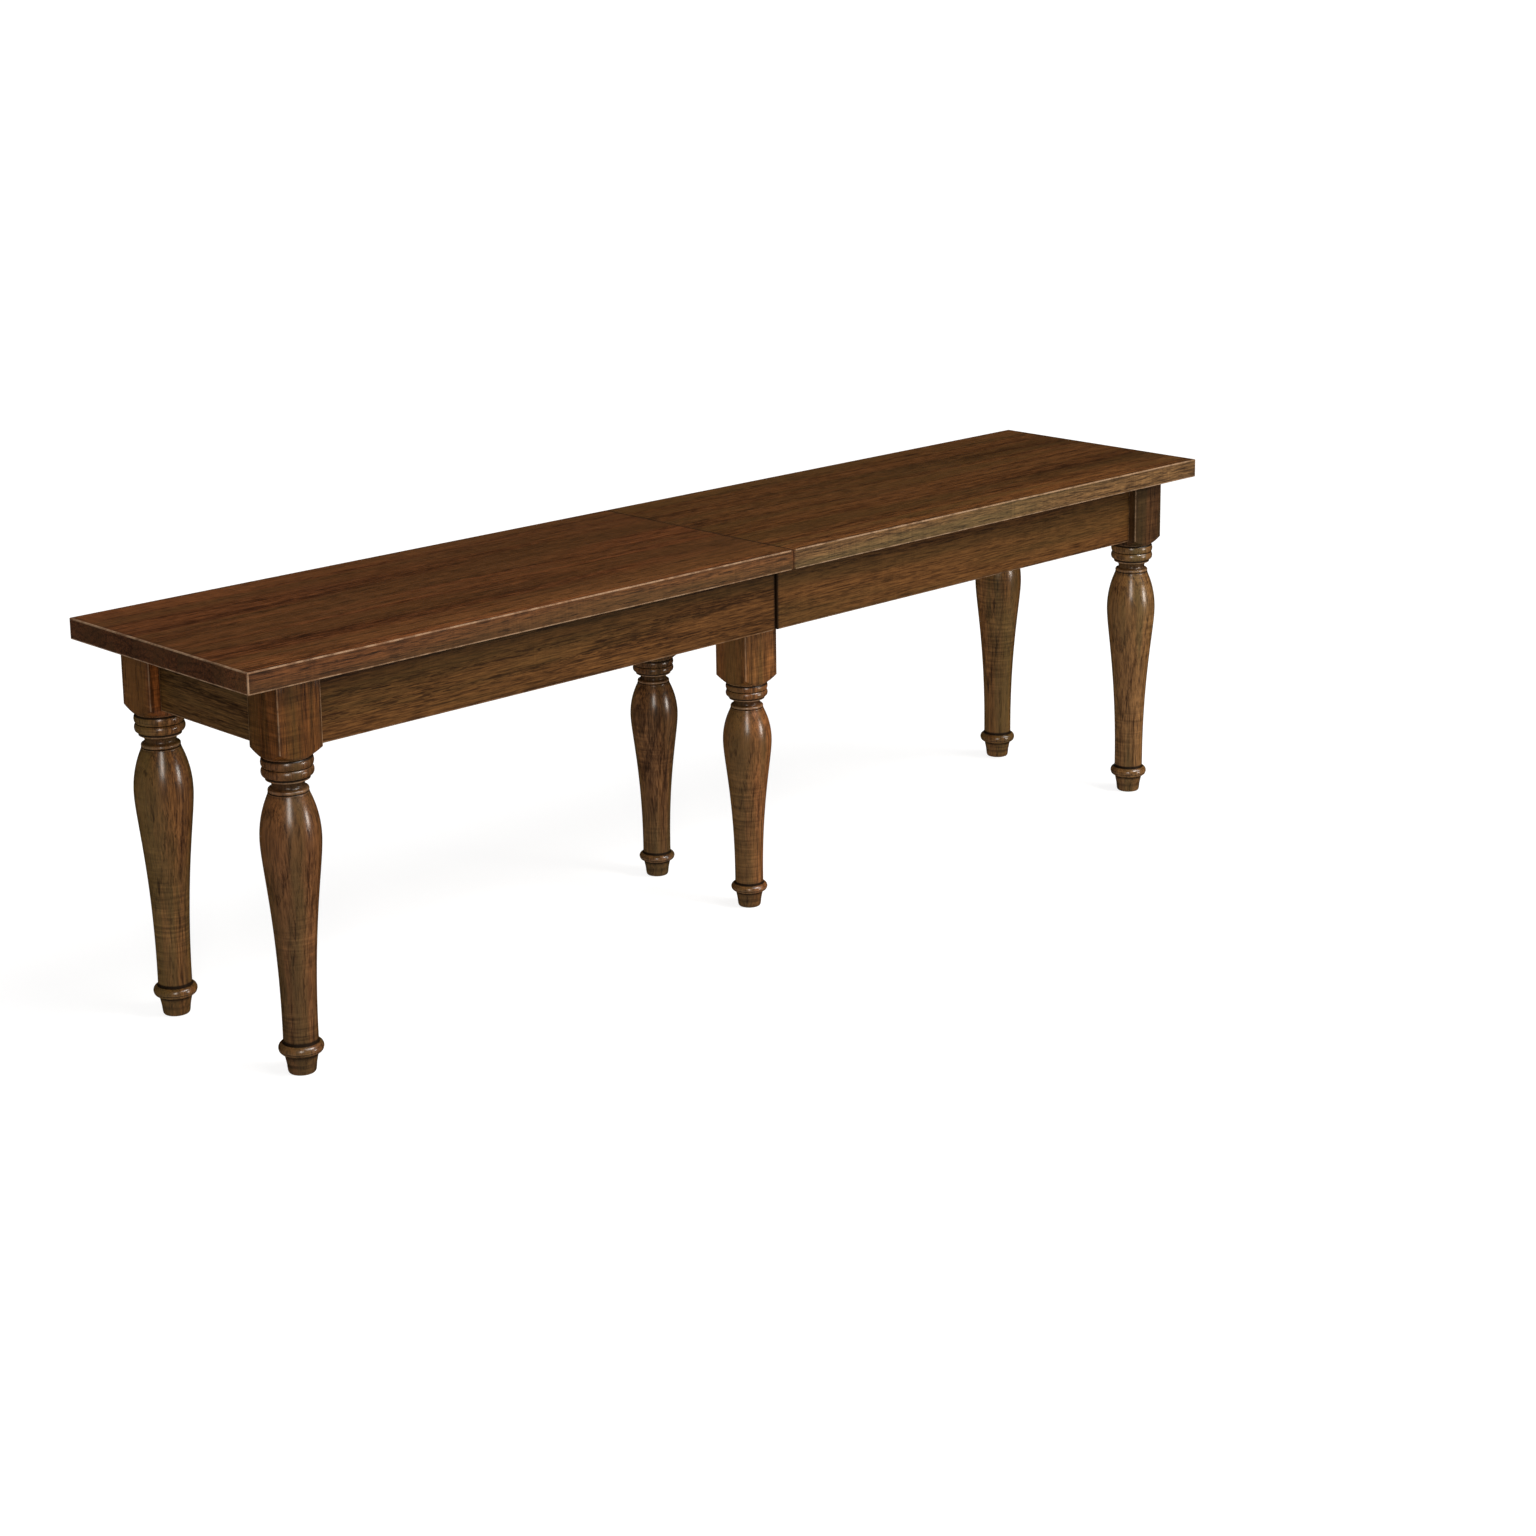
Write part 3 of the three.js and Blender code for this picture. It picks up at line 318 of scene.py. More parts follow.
def board(name, node, long_arris, end_arrises, joints=(False, False), axis=0, meet=None):
    """A board in a node's box. Its section is carried along the axis. Near an end the section is
    inset by r (1 - cos t) at a distance r (1 - sin t) from the end, t running from a right angle to
    0, so the end is rounded over by r. Further insets on the end face carry the edge mask. The end
    mask is 1 on the end grain, and where the end is a joint also on its arris, which has no edge
    mask there. The side mask is 1 on the two long narrow faces. A joint may be told where it meets
    the next board."""
    low, high = bounds_of(node)
    if meet is not None:
        (low, high)[joints.index(True)][axis] = meet
    across = 1 - axis
    half, middle = ((high + sign * low)[[across, 2]] / 2 for sign in (-1, 1))
    turn = np.linspace(math.pi / 2, 0, ARC_STEPS)
    rounded = np.ones(ARC_STEPS)
    stations = []
    for end, arris, way, joint in zip((low[axis], high[axis]), end_arrises, (1, -1), joints):
        place = (ON_LINES * end, end + way * arris * (1 - np.sin(turn)),
                 end + way * (arris + EDGE_LINES))
        inset = (EDGE_LINES[::-1] + arris, arris * (1 - np.cos(turn)), OFF_LINES)
        close = np.concatenate((EDGE_FALL[::-1], rounded, EDGE_FALL)) * (not joint)
        grain = ((ON_LINES, rounded, (0.45, 0.0, 0.0, 0.0)) if joint else
                 (ON_LINES, np.cos(turn - math.pi / 2), OFF_LINES))
        station = [np.concatenate(place), np.concatenate(inset), close, np.concatenate(grain)]
        stations.append(np.array(station)[:, ::way])
    place, inset, close, grain = np.concatenate(stations, axis=1)
    outline = section(half, long_arris, inset)
    rings = np.empty(outline.shape[:2] + (3,))
    rings[..., axis] = place[:, None]
    rings[..., [across, 2]] = outline + middle
    long_edges = all_round(EDGE_FALL[::-1], rounded, EDGE_FALL) * (1 - grain[:, None])
    narrow = all_round(ON_LINES, np.cos(np.linspace(0, math.pi / 2, ARC_STEPS)), OFF_LINES)
    return skin(name, rings, {
        "edge": np.maximum(close[:, None], long_edges), "side": narrow * (1 - grain[:, None]),
        "end": np.broadcast_to(grain[:, None], outline.shape[:2])})


# Legs.

def bezier(points, steps):
    """(1-t)^3 a + 3 (1-t)^2 t b + 3 (1-t) t^2 c + t^3 d for evenly spaced t."""
    t = np.linspace(0, 1, steps)[:, None]
    a, b, c, d = (np.array(point) for point in points)
    return (1 - t) ** 3 * a + 3 * (1 - t) ** 2 * t * b + 3 * (1 - t) * t ** 2 * c + t ** 3 * d


def half_round(root, crown, bottom, top, steps=15):
    """Half an ellipse standing out from a root radius: root + (crown - root) sin t, and a height
    that goes from bottom to top as -cos t does."""
    t = np.linspace(0, math.pi, steps)
    height = (bottom + top) / 2 - (top - bottom) / 2 * np.cos(t)
    return np.stack((root + (crown - root) * np.sin(t), height), 1)


def leg_outline(belly, foot, ring, block):
    """[radius, height] points of a leg's turned part from the floor to the underside of its block:
    a tapered foot, a ring with a fine line, a vase and its shoulder, a collar, a neck, a cove under
    a fillet and two beads. The line lowers the ring's radius by depth * exp(-(distance /
    width)^2)."""
    shaft = foot + ring
    foot_part = np.array(FOOT_OUTLINE) * (belly, foot)
    ring_part = half_round(RING_ROOT * belly, RING_CROWN * belly, foot, shaft, 41)
    line = (ring_part[:, 1] - foot - RING_LINE * ring) / LINE_WIDTH
    ring_part[:, 0] -= LINE_DEPTH * np.exp(-line ** 2)
    upper = [bezier(VASE_CURVE, 52), bezier(SHOULDER_CURVE, 30)[1:], half_round(*COLLAR, 9),
             bezier(NECK_CURVE, 9), bezier(COVE_CURVE, 12), FILLET, half_round(*BEADS[0]),
             half_round(*BEADS[1])[1:]]
    placed = np.concatenate(upper) * (belly, block - shaft) + (0, shaft)
    return np.concatenate((foot_part, ring_part, placed))


def relief(outline):
    """How far each point of an outline stands out from, or lies behind, the mean radius within the
    relief's reach along the outline, as shares of its depth: (crown mask, groove mask)."""
    run = np.concatenate(([0], np.cumsum(np.hypot(*np.diff(outline, axis=0).T))))
    fine = np.arange(0, run[-1], RELIEF_STEP)
    radius = np.interp(fine, run, outline[:, 0])
    width = int(RELIEF_REACH / RELIEF_STEP)
    padded = np.pad(radius, width, mode="edge")
    sums = np.concatenate(([0], np.cumsum(padded)))
    mean = (sums[2 * width + 1:] - sums[:-2 * width - 1]) / (2 * width + 1)
    share = np.interp(run, fine, radius - mean) / RELIEF_DEPTH
    return np.clip(share, 0, 1), np.clip(-share, 0, 1)


def rise(value, start, run):
    """0 up to the start, then rising evenly to 1 over the run."""
    return np.clip((value - start) / run, 0, 1)


def from_nearest_face(angle):
    """The angle between each direction and the square to the nearest face of a block."""
    return np.abs((angle + math.pi / 4) % (math.pi / 2) - math.pi / 4)


def block_radius(angle, half, arris):
    """Distance from a block's axis to its face in each direction: half / cos of the angle from the
    nearest face, and near a corner the far crossing of the arris's circle."""
    turn = from_nearest_face(angle)
    cos, sin = np.cos(turn), np.sin(turn)
    centre = half - arris
    total = centre * (cos + sin)
    corner = total + np.sqrt(np.maximum(total ** 2 - 2 * centre ** 2 + arris ** 2, 0))
    return np.where(half * sin / cos <= centre, half / cos, corner)


def block_angles(half, arris, turns, inward, flat):
    """Directions round a leg: evenly spaced ones, those of the arris and the EDGE_LINES of each
    corner of its block, and those of the flat across its inward corner."""
    centre = half - arris
    arc = np.linspace(0, math.pi / 4, 4)
    near = np.concatenate((np.arctan2(centre + arris * np.sin(arc), centre + arris * np.cos(arc)),
                           np.arctan2(centre - EDGE_LINES, half)))
    near = np.concatenate((near, math.pi / 2 - near))
    corners = [near + math.pi / 2 * quarter for quarter in range(4)]
    angles = np.concatenate(corners + [full_turn(turns)])
    if flat:
        crease = math.acos(flat / math.hypot(half, flat * math.sqrt(2) - half))
        beside = crease * np.array([-1.04, -1, -0.96, 0.96, 1, 1.04])
        angles = np.concatenate((angles, inward + beside))
    angles = np.sort(angles % (2 * math.pi))
    return angles[np.diff(angles, prepend=angles[-1] - 2 * math.pi) > 1e-3]


def leg(name, node, sizes, belly, foot, ring, side, bottom, top, flat=0.0, tenon=None):
    """A turned leg under a square block that reaches from bottom to top, as one surface of a radius
    and a height for each row and direction. The rows follow the outline, run out under the block
    and up its rim, then along the cone z = bottom + slope * (radius - cut radius), no lower than
    the rim, and up the block's faces from where the cone meets them. A corner leg is planed flat
    across its inward corner; a centre leg ends in a round tenon. Its block has the side mask."""
    low, high = bounds_of(node)
    centre = (low + high)[:2] / 2
    half, arris = side / 2, sizes.block_arris
    inward = math.atan2(-centre[1], -centre[0]) if flat else 0.0
    angle = block_angles(half, arris, sizes.turns, inward, flat)
    ones = np.ones_like(angle)

    outline = leg_outline(belly, foot, ring, bottom)
    up = outline[:, 1]
    crown, groove = relief(outline)
    share = (up - foot - ring) / (bottom - foot - ring)
    in_cove = (share > NECK_CURVE[1][1]) & (share < FILLET[0][1])
    groove = np.where(in_cove, np.minimum(groove, COVE_DARKENING), groove)
    # Darker on the beads and the foot; painted shade just under the block.
    on_beads = rise(up, BEAD_DARKENING[0] * bottom, BEAD_DARKENING[1] * bottom)
    on_foot = rise(-up, -foot - FOOT_DARKENING[0], FOOT_DARKENING[1])
    shade_under_block = rise(up, bottom - BLOCK_SHADE[0], BLOCK_SHADE[1])
    groove = np.maximum(groove + FAINT_DARKENING * np.maximum(on_beads, on_foot), shade_under_block)

    square = block_radius(angle, half, arris)
    lip, cut = outline[-1, 0], BLOCK_CUT * half
    inner = cut + 0.2 * RIM_LEDGE
    from_arris = half - arris - square * np.sin(from_nearest_face(angle))
    upright = np.clip(1 - from_arris / EDGE_LINES[-1], 0, 1)
    planed = square
    if flat:
        facing = np.cos(angle - inward)
        planed = np.where(facing > 0.5, np.minimum(square, flat / np.maximum(facing, 0.5)), square)

    def cone(radius):
        return bottom + np.maximum(RIM_HEIGHT, CUT_SLOPE * (radius - cut))

    # Painted shade under the block near the beads and where the rim meets the cone, through the
    # groove mask; a painted highlight, partly rubbing, on the rim's edge and on the cone's outer
    # edge, through the edge mask.
    rows = [(lip + share * (cut - lip), bottom, 0.0, 0.9 * (1 - share)) for share in UNDER_ROWS]
    rows += [(cut + out * RIM_LEDGE, bottom + lift * RIM_HEIGHT, rubbed, glazed)
             for out, lift, rubbed, glazed in RIM_ROWS]
    for share in CONE_ROWS:
        reach = inner + share * (square - inner)
        rows.append((reach, cone(reach), 0.6 * (share > 0.95), 0.8 * (share < 0.1)))
    crease, ledge = cone(square), bottom + BLOCK_LEDGE
    # The edge mask paints a highlight, partly rubbing, along the foot of the block's faces and up
    # its arrises.
    rows += [(square, np.minimum(crease + step * MM, (crease + 5 * ledge) / 6),
              np.maximum(upright, 0.75 - step / CREASE_ROWS[-1]), 0.0) for step in CREASE_ROWS]
    rows.append((square, ledge, upright, 0.0))
    rows += [(planed, ledge + share * (top - BLOCK_EASE - ledge), upright, 0.0)
             for share in np.linspace(0, 1, 6)]
    rows.append((planed - BLOCK_EASE, top, upright, 0.0))
    if tenon:
        radius, end = tenon
        rows += [(radius, top, 0.0, 0.0), (radius, end - TENON_EASE, 0.0, 0.0),
                 (radius - TENON_EASE, end, 0.0, 0.0)]
    starts = (outline[:, :1], outline[:, 1:], np.zeros((len(outline), 1)), groove[:, None])
    radius, height, edge, groove = (
        np.concatenate((start * ones, np.array([row[part] * ones for row in rows])))
        for part, start in enumerate(starts))
    crown = np.concatenate((crown[:, None] * ones, np.zeros((len(rows), len(angle)))))
    rings = np.stack((centre[0] + radius * np.cos(angle), centre[1] + radius * np.sin(angle),
                      height), -1)
    on_block = rise(height, bottom - 0.5 * MM, MM)
    masks = {"edge": edge, "groove": groove, "crown": crown, "side": on_block}
    return skin(name, rings, masks, crease=38)


# Hardware.

def turned(start, way, distance, radius):
    """Rings [station, point, XYZ] round a straight axis. The point at angle t of a station lies at
    start + distance * way + radius * (cos t * across + sin t * over), where across is level, and
    across, over and way stand square to each other, right-handed. Distance and radius are [station,
    point]."""
    way = np.array(way, float) / np.linalg.norm(way)
    level = np.cross(way, (0.0, 0.0, 1.0)) if abs(way[2]) < 0.9 else np.array((1.0, 0.0, 0.0))
    across = level / np.linalg.norm(level)
    over = np.cross(way, across)
    angle = full_turn(radius.shape[1])
    spoke = np.cos(angle)[:, None] * across + np.sin(angle)[:, None] * over
    return np.array(start) + distance[..., None] * way + radius[..., None] * spoke


def thread(distance, angle, pitch, root, crest, sharp=1.0):
    """Radius of a right-handed thread: root + (crest - root) * |2 f - 1| ^ sharp, f being the
    fraction of distance / pitch - angle / full turn. A higher power makes the crest narrower."""
    fraction = (distance / pitch - angle / (2 * math.pi)) % 1.0
    return root + (crest - root) * np.abs(2 * fraction - 1) ** sharp


# Threads of a hanger bolt in millimetres: begin, end, pitch, root, crest, sharpness and fade. The
# machine thread begins at its start and ends this far before the bolt's own end.
WOOD_THREAD = (0.0, 26.0, 3.0, 2.5, 3.75, 3.0, 5.0)
MACHINE_THREAD, MACHINE_START, THREAD_END = (1.25, 3.1, 3.75, 1.0, 1.2), 31.0, 0.6
THREAD_STEP, SHANK, TIP_RUN, BOLT_CHAMFER = 0.3125 * MM, 3.3 * MM, 5 * MM, 0.7 * MM

# Radius and rise of the domed head of a pinion's axle, in millimetres.
AXLE_HEAD = ((6.3, 0.0), (6.6, 0.25), (6.45, 0.55), (5.4, 0.9), (3.4, 1.12), (1.2, 1.2))


def hanger_bolt(name, centre, outward, length):
    """A bolt with a wood screw in the leg and a machine thread for the nut. Both threads fade in
    and out over their run, as min(1, distance from the run's ends / fade)."""
    angle = full_turn(20)
    distance = np.append(np.arange(0, length, THREAD_STEP), length)[:, None] * np.ones_like(angle)
    radius = np.full_like(distance, SHANK)
    for begin, end, pitch, root, crest, sharp, fade in (
            WOOD_THREAD, (MACHINE_START, length / MM - THREAD_END, *MACHINE_THREAD)):
        cut = thread(distance, angle, pitch * MM, root * MM, crest * MM, sharp)
        inside = (distance >= begin * MM) & (distance <= end * MM)
        share = np.clip(np.minimum(distance - begin * MM, end * MM - distance) / (fade * MM), 0, 1)
        radius = np.where(inside, root * MM + (cut - root * MM) * share, radius)
    radius *= np.clip(0.25 + distance / TIP_RUN, 0, 1)
    radius -= BOLT_CHAMFER * np.clip(1 - (length - distance) / BOLT_CHAMFER, 0, 1)
    start = np.array(centre) + np.array(outward) * length / 2
    return skin(name, turned(start, -np.array(outward), distance, radius))


def hex_nut(name, centre, way, thick, apothem, bore):
    """A six-sided nut as a loop of rings. The face's radius is apothem / cos of the angle from the
    middle of the flat. A cone of 30 degrees from the end faces takes the corners off where it meets
    them."""
    angle = full_turn(60)
    ease, rim = 0.6 * MM, 0.978 * apothem
    hexagon = apothem / np.cos(angle % (math.pi / 3) - math.pi / 6)
    chamfer = (hexagon - rim) * math.tan(math.radians(30))
    ones = np.ones_like(angle)
    radius = np.array([bore * ones, (bore + ease) * ones, rim * ones, hexagon])
    depth = np.array([ease * ones, 0 * ones, 0 * ones, chamfer])
    distance = np.concatenate((depth, thick - depth[::-1]))
    start = np.array(centre) - np.array(way) * thick / 2
    rings = turned(start, way, distance, np.concatenate((radius, radius[::-1])))
    return skin(name, rings, crease=24, loop=True)


def axle(name, low, high):
    """A pinion's axle with eased ends and a low domed head on top."""
    middle = (low + high) / 2
    foot, seat = low[2] / MM, high[2] / MM - AXLE_HEAD[-1][1]
    shape = np.array([(2.5, foot), (3.0, foot + 0.5), (3.0, seat - 0.01)]
                     + [(radius, seat + rise) for radius, rise in AXLE_HEAD]) * MM
    ones = np.ones(40)
    return skin(name, turned((*middle[:2], 0), (0, 0, 1), shape[:, 1:] * ones, shape[:, :1] * ones))


def fluted_dowel(name, low, high, full=4.75 * MM, nose=1.5 * MM, flutes=14, depth=0.3 * MM):
    """A dowel along X. Its ends are quarter ellipses: at nose * (1 - cos t) from an end the radius
    is full - nose * (1 - sin t). Between them it is lowered by depth * max(0, cos(flutes * angle))
    ^ 2."""
    angle = full_turn(112)
    t = np.linspace(0, math.pi / 2, 6)
    length = high[0] - low[0]
    begin = nose * (1 - np.cos(t))
    rounded = full - nose * (1 - np.sin(t))
    distance, radius, cut = (
        np.concatenate((start, [middle], end[::-1]))[:, None] for start, middle, end in
        ((begin, length / 2, length - begin), (rounded, full, rounded), (np.sin(t), 1, np.sin(t))))
    radius = radius - depth * cut ** 6 * np.maximum(0, np.cos(flutes * angle)) ** 2
    start = (low[0], *((low + high) / 2)[1:])
    return skin(name, turned(start, (1, 0, 0), distance * np.ones_like(angle), radius))


def screw_heads(name, places, ways, radius, proud=0.25 * MM):
    """Countersunk heads, one for each place and facing way, as closed plugs whose crossed recess is
    a ring of radius shares 0.5 on the arms and 0.2 between them."""
    ones = np.ones(16)
    star = np.tile((0.5, 0.27, 0.2, 0.27), 4)
    shares = np.array([0.45 * ones, ones, 0.97 * ones, 0.86 * ones, star, 0.5 * star]) * radius
    depths = np.array([-0.4 * radius, 0, 0.6 * proud, proud, proud, -0.35 * radius])[:, None] * ones
    heads = [turned(place, way, depths, shares) for place, way in zip(places, ways)]
    return skin(name, np.array(heads), crease=30)


def drill(piece, centres, radius, depth, way):
    """Cuts round holes along X into a board's joint face with an exact Boolean that is applied, and
    gives the end mask to the holes and their rims."""
    angle = full_turn(48)
    ones = np.ones_like(angle)
    distance = np.array([-1.0 * MM, depth])[:, None] * ones
    rings = [turned(centre, (way, 0, 0), distance, radius + 0 * distance) for centre in centres]
    cutter = skin("drill", np.array(rings))
    change = piece.modifiers.new("holes", "BOOLEAN")
    change.operation, change.solver, change.object = "DIFFERENCE", "EXACT", cutter
    bpy.context.view_layer.update()
    evaluated = piece.evaluated_get(bpy.context.evaluated_depsgraph_get())
    cut = bpy.data.meshes.new_from_object(evaluated)
    piece.modifiers.clear()
    old, piece.data = piece.data, cut
    cut.name = old.name + "_drilled"
    bpy.data.meshes.remove(old)
    shape = cutter.data
    bpy.data.objects.remove(cutter)
    bpy.data.meshes.remove(shape)
    points = np.empty(len(cut.vertices) * 3, dtype=np.float32)
    cut.vertices.foreach_get("co", points)
    points = points.reshape(-1, 3)
    away = np.min([np.hypot(points[:, 1] - y, points[:, 2] - z) for _, y, z in centres], axis=0)
    hole = (away < radius + 0.3 * MM) & (np.abs(points[:, 0] - centres[0][0]) < depth + 1 * MM)
    layer = cut.attributes["end"]
    values = np.empty(len(points), dtype=np.float32)
    layer.data.foreach_get("value", values)
    layer.data.foreach_set("value", np.where(hole, 1.0, values).astype(np.float32))
    cut.shade_smooth()
    cut.set_sharp_from_angle(angle=math.radians(32))


# Finishes.

class Sheet:
    """Adds nodes to one node tree. A value given as a socket is linked, and any other is set."""

    def __init__(self, tree):
        self.tree = tree

    def put(self, value, socket):
        if isinstance(value, bpy.types.NodeSocket):
            self.tree.links.new(value, socket)
        elif socket.type == "RGBA" and len(value) == 3:
            socket.default_value = (*value, 1.0)
        else:
            socket.default_value = value

    def node(self, kind, inputs=None, **settings):
        made = self.tree.nodes.new(kind)
        for name, value in settings.items():
            setattr(made, name, value)
        for name, value in (inputs or {}).items():
            self.put(value, made.inputs[name])
        return made

    def math(self, operation, *values, clamp=False):
        return self.node("ShaderNodeMath", dict(enumerate(values)), operation=operation,
                         use_clamp=clamp).outputs[0]

    def times(self, first, second):
        return self.math("MULTIPLY", first, second)

    def larger(self, first, second):
        return self.math("MAXIMUM", first, second)

    def line(self, value, slope, base):
        """base + slope * value."""
        return self.math("MULTIPLY_ADD", value, slope, base)

    def sway(self, value, depth, base, clamp=False):
        """base + depth * (value - 0.5), for noise that lies round 0.5."""
        value = self.math("SUBTRACT", value, 0.5)
        return self.math("MULTIPLY_ADD", value, depth, base, clamp=clamp)

    def vector(self, operation, *values):
        made = self.node("ShaderNodeVectorMath", dict(enumerate(values)), operation=operation)
        return made.outputs["Value" if operation == "LENGTH" else "Vector"]

    def apart(self, vector):
        return self.node("ShaderNodeSeparateXYZ", {0: vector}).outputs

    def together(self, *values):
        return self.node("ShaderNodeCombineXYZ", dict(enumerate(values))).outputs[0]

    def noise(self, vector, along, across, detail=2.0, roughness=0.5, output="Fac"):
        stretched = self.vector("MULTIPLY", vector, (along, across, across))
        made = self.node("ShaderNodeTexNoise", {"Vector": stretched, "Scale": 1.0, "Detail": detail,
                                                "Roughness": roughness})
        return made.outputs[output]

    def span(self, value, low, high, to_low=0.0, to_high=1.0, kind="SMOOTHSTEP"):
        made = self.node("ShaderNodeMapRange", {"Value": value, "From Min": low, "From Max": high,
                                                "To Min": to_low, "To Max": to_high},
                         interpolation_type=kind)
        return made.outputs["Result"]

    def mix(self, share, first, second, blend="MIX"):
        made = self.node("ShaderNodeMix", data_type="RGBA", blend_type=blend, clamp_factor=True)
        for value, number in ((share, 0), (first, 6), (second, 7)):
            self.put(value, made.inputs[number])
        return made.outputs[2]

    def mask(self, name):
        return self.node("ShaderNodeAttribute", attribute_name=name).outputs["Fac"]

    def place(self):
        return self.node("ShaderNodeTexCoord").outputs["Object"]


# The inputs of each node group with their defaults: none for a vector, three numbers for a colour.
GREY = (0.5, 0.5, 0.5)
GRAIN_INPUTS = ("Stave", "Ring", "Bend", "Pith", "Ring Depth", "Streak Depth", "Line Depth",
                "Fibre Depth", "Pore Depth", "Drift Depth")
BARE_GRAIN = (10.0, 0.0035, 0.012, 0.06, 0.35, 0.7, 1.0, 0.8, 0.5, 0.2)
GROUP_INPUTS = {
    "stained_grain": {"Grain": None, "Light": GREY, "Dark": GREY, "Drift": GREY, "Pore": GREY,
                      **dict(zip(GRAIN_INPUTS, BARE_GRAIN))},
    "cross_figure": {"Grain": None, "Depth": 0.2},
    "face_tint": {"Colour": GREY, "Grain": None, "Near": GREY, "Far": GREY, "Begin": 0.0,
                  "End": 1.0},
    "side_band": {"Colour": GREY, "Grain": None, "From": 0.0, "To": 0.1, "Factor": 1.0,
                  "Wave": 0.06},
    "glaze_and_wear": {"Colour": GREY, "Place": None, "Glaze": GREY, "Worn": GREY,
                       "Glaze Depth": 0.8, "Wear Depth": 0.5, "Crown Depth": 0.5,
                       "End Depth": 0.6, "Roughness": 0.42, "Coat": 0.5},
    "plated_metal": {"Place": None, "Colour": GREY, "Roughness": 0.34}}

# Noise of the grain: marks per metre along and across the fibres, detail and roughness.
STREAKS, LINES = (2.4, 85.0, 6.0, 0.62), (7.0, 300.0, 4.0, 0.7)
FIBRES, VESSELS = (36.0, 620.0, 3.0, 0.65), (90.0, 1300.0, 1.0)
DASHES, SLOW_TONE = (34.0, 520.0, 1.0), (0.9, 11.0)
WANDER, PATCHES = (1.3, 7.0, 3.0, 0.55, "Color"), (1.7, 23.0, 3.0, 0.55, "Color")


def stained_grain(sheet, given):
    """Grain of a sawn board. In the grain's own frame X runs along the fibres, and growth rings are
    circles in Y and Z round a pith that wanders: ring = distance from the pith / ring width. Each
    stave has its own pith and place along the log. Early wood, the start of each ring, holds the
    pores."""
    x, y, z = sheet.apart(given["Grain"])
    stave = given["Stave"]
    number = sheet.math("FLOOR", sheet.math("ADD", sheet.math("DIVIDE", y, stave), 0.5))
    chance = sheet.node("ShaderNodeTexWhiteNoise", {"W": number}, noise_dimensions="1D")
    first, second, third = sheet.apart(chance.outputs["Color"])
    along = sheet.line(first, 7.3, x)
    across = sheet.sway(second, 0.05, sheet.math("SUBTRACT", y, sheet.times(number, stave)))
    deep = sheet.math("ADD", z, sheet.line(third, 0.05, given["Pith"]))
    point = sheet.together(along, across, deep)
    wander = sheet.vector("SUBTRACT", sheet.noise(point, *WANDER), (0.5, 0.5, 0.5))
    bent = sheet.vector("MULTIPLY_ADD", wander, sheet.together(0.0, given["Bend"], given["Bend"]),
                        sheet.together(0.0, across, deep))
    phase = sheet.math("FRACT", sheet.math("DIVIDE", sheet.vector("LENGTH", bent), given["Ring"]))
    early = sheet.times(sheet.math("SUBTRACT", 1.0, sheet.span(phase, 0.0, 0.55)),
                        sheet.span(phase, 0.0, 0.06))
    streak, line, fibre, vessel, dash, slow = (sheet.noise(point, *layer) for layer in (
        STREAKS, LINES, FIBRES, VESSELS, DASHES, SLOW_TONE))
    marks = sheet.larger(sheet.span(vessel, 0.57, 0.64), sheet.span(dash, 0.58, 0.68))
    pores = sheet.times(marks, sheet.line(early, 0.6, 0.4))
    tone = 0.5
    for layer, depth in ((streak, "Streak Depth"), (line, "Line Depth"), (fibre, "Fibre Depth")):
        tone = sheet.sway(layer, given[depth], tone)
    ringed = sheet.times(sheet.math("SUBTRACT", early, 0.3), given["Ring Depth"])
    tone = sheet.sway(first, 0.22, sheet.math("SUBTRACT", tone, ringed))
    tone = sheet.sway(slow, 0.7, tone, clamp=True)
    patch = sheet.span(sheet.apart(sheet.noise(point, *PATCHES))[1], 0.4, 0.62)
    colour = sheet.mix(tone, given["Dark"], given["Light"])
    colour = sheet.mix(sheet.times(patch, given["Drift Depth"]), colour, given["Drift"])
    colour = sheet.mix(sheet.times(pores, given["Pore Depth"]), colour, given["Pore"])
    height = sheet.math("SUBTRACT", sheet.times(fibre, 0.35), pores)
    return {"Colour": colour, "Tone": tone, "Height": height}


def cross_figure(sheet, given):
    """Faint shimmer across the fibres: noise that is short along them and long across, stronger in
    patches, as a factor round 1."""
    bands = sheet.noise(given["Grain"], 330.0, 22.0, 3.0, 0.6)
    patches = sheet.span(sheet.noise(given["Grain"], 9.0, 14.0, 1.0), 0.38, 0.62)
    return {"Factor": sheet.sway(bands, sheet.times(patches, given["Depth"]), 1.0)}


def face_tint(sheet, given):
    """Painted light and shade: multiplies a colour by a second colour where the mesh has its side
    mask. It paints shade and sheen on the seat's narrow faces, and light and shade on a leg's
    block. The second colour goes from near to far between two places along the grain."""
    run = sheet.apart(given["Grain"])[0]
    painted_tint = sheet.mix(sheet.span(run, given["Begin"], given["End"]), given["Near"], given["Far"])
    painted_tint = sheet.mix(sheet.mask("side"), (1.0, 1.0, 1.0), painted_tint)
    return {"Colour": sheet.mix(1.0, given["Colour"], painted_tint, "MULTIPLY")}


def side_band(sheet, given):
    """Multiplies a colour by a factor on one side of a board; on the aprons this is the painted
    shadow of the seat. The factor fades to 1 between two places across the grain, along a line that
    wanders by the wave."""
    across = sheet.apart(given["Grain"])[1]
    across = sheet.sway(sheet.noise(given["Grain"], 2.0, 12.0), given["Wave"], across)
    factor = sheet.span(across, given["From"], given["To"], given["Factor"], 1.0)
    return {"Colour": sheet.mix(1.0, given["Colour"], factor, "MULTIPLY")}


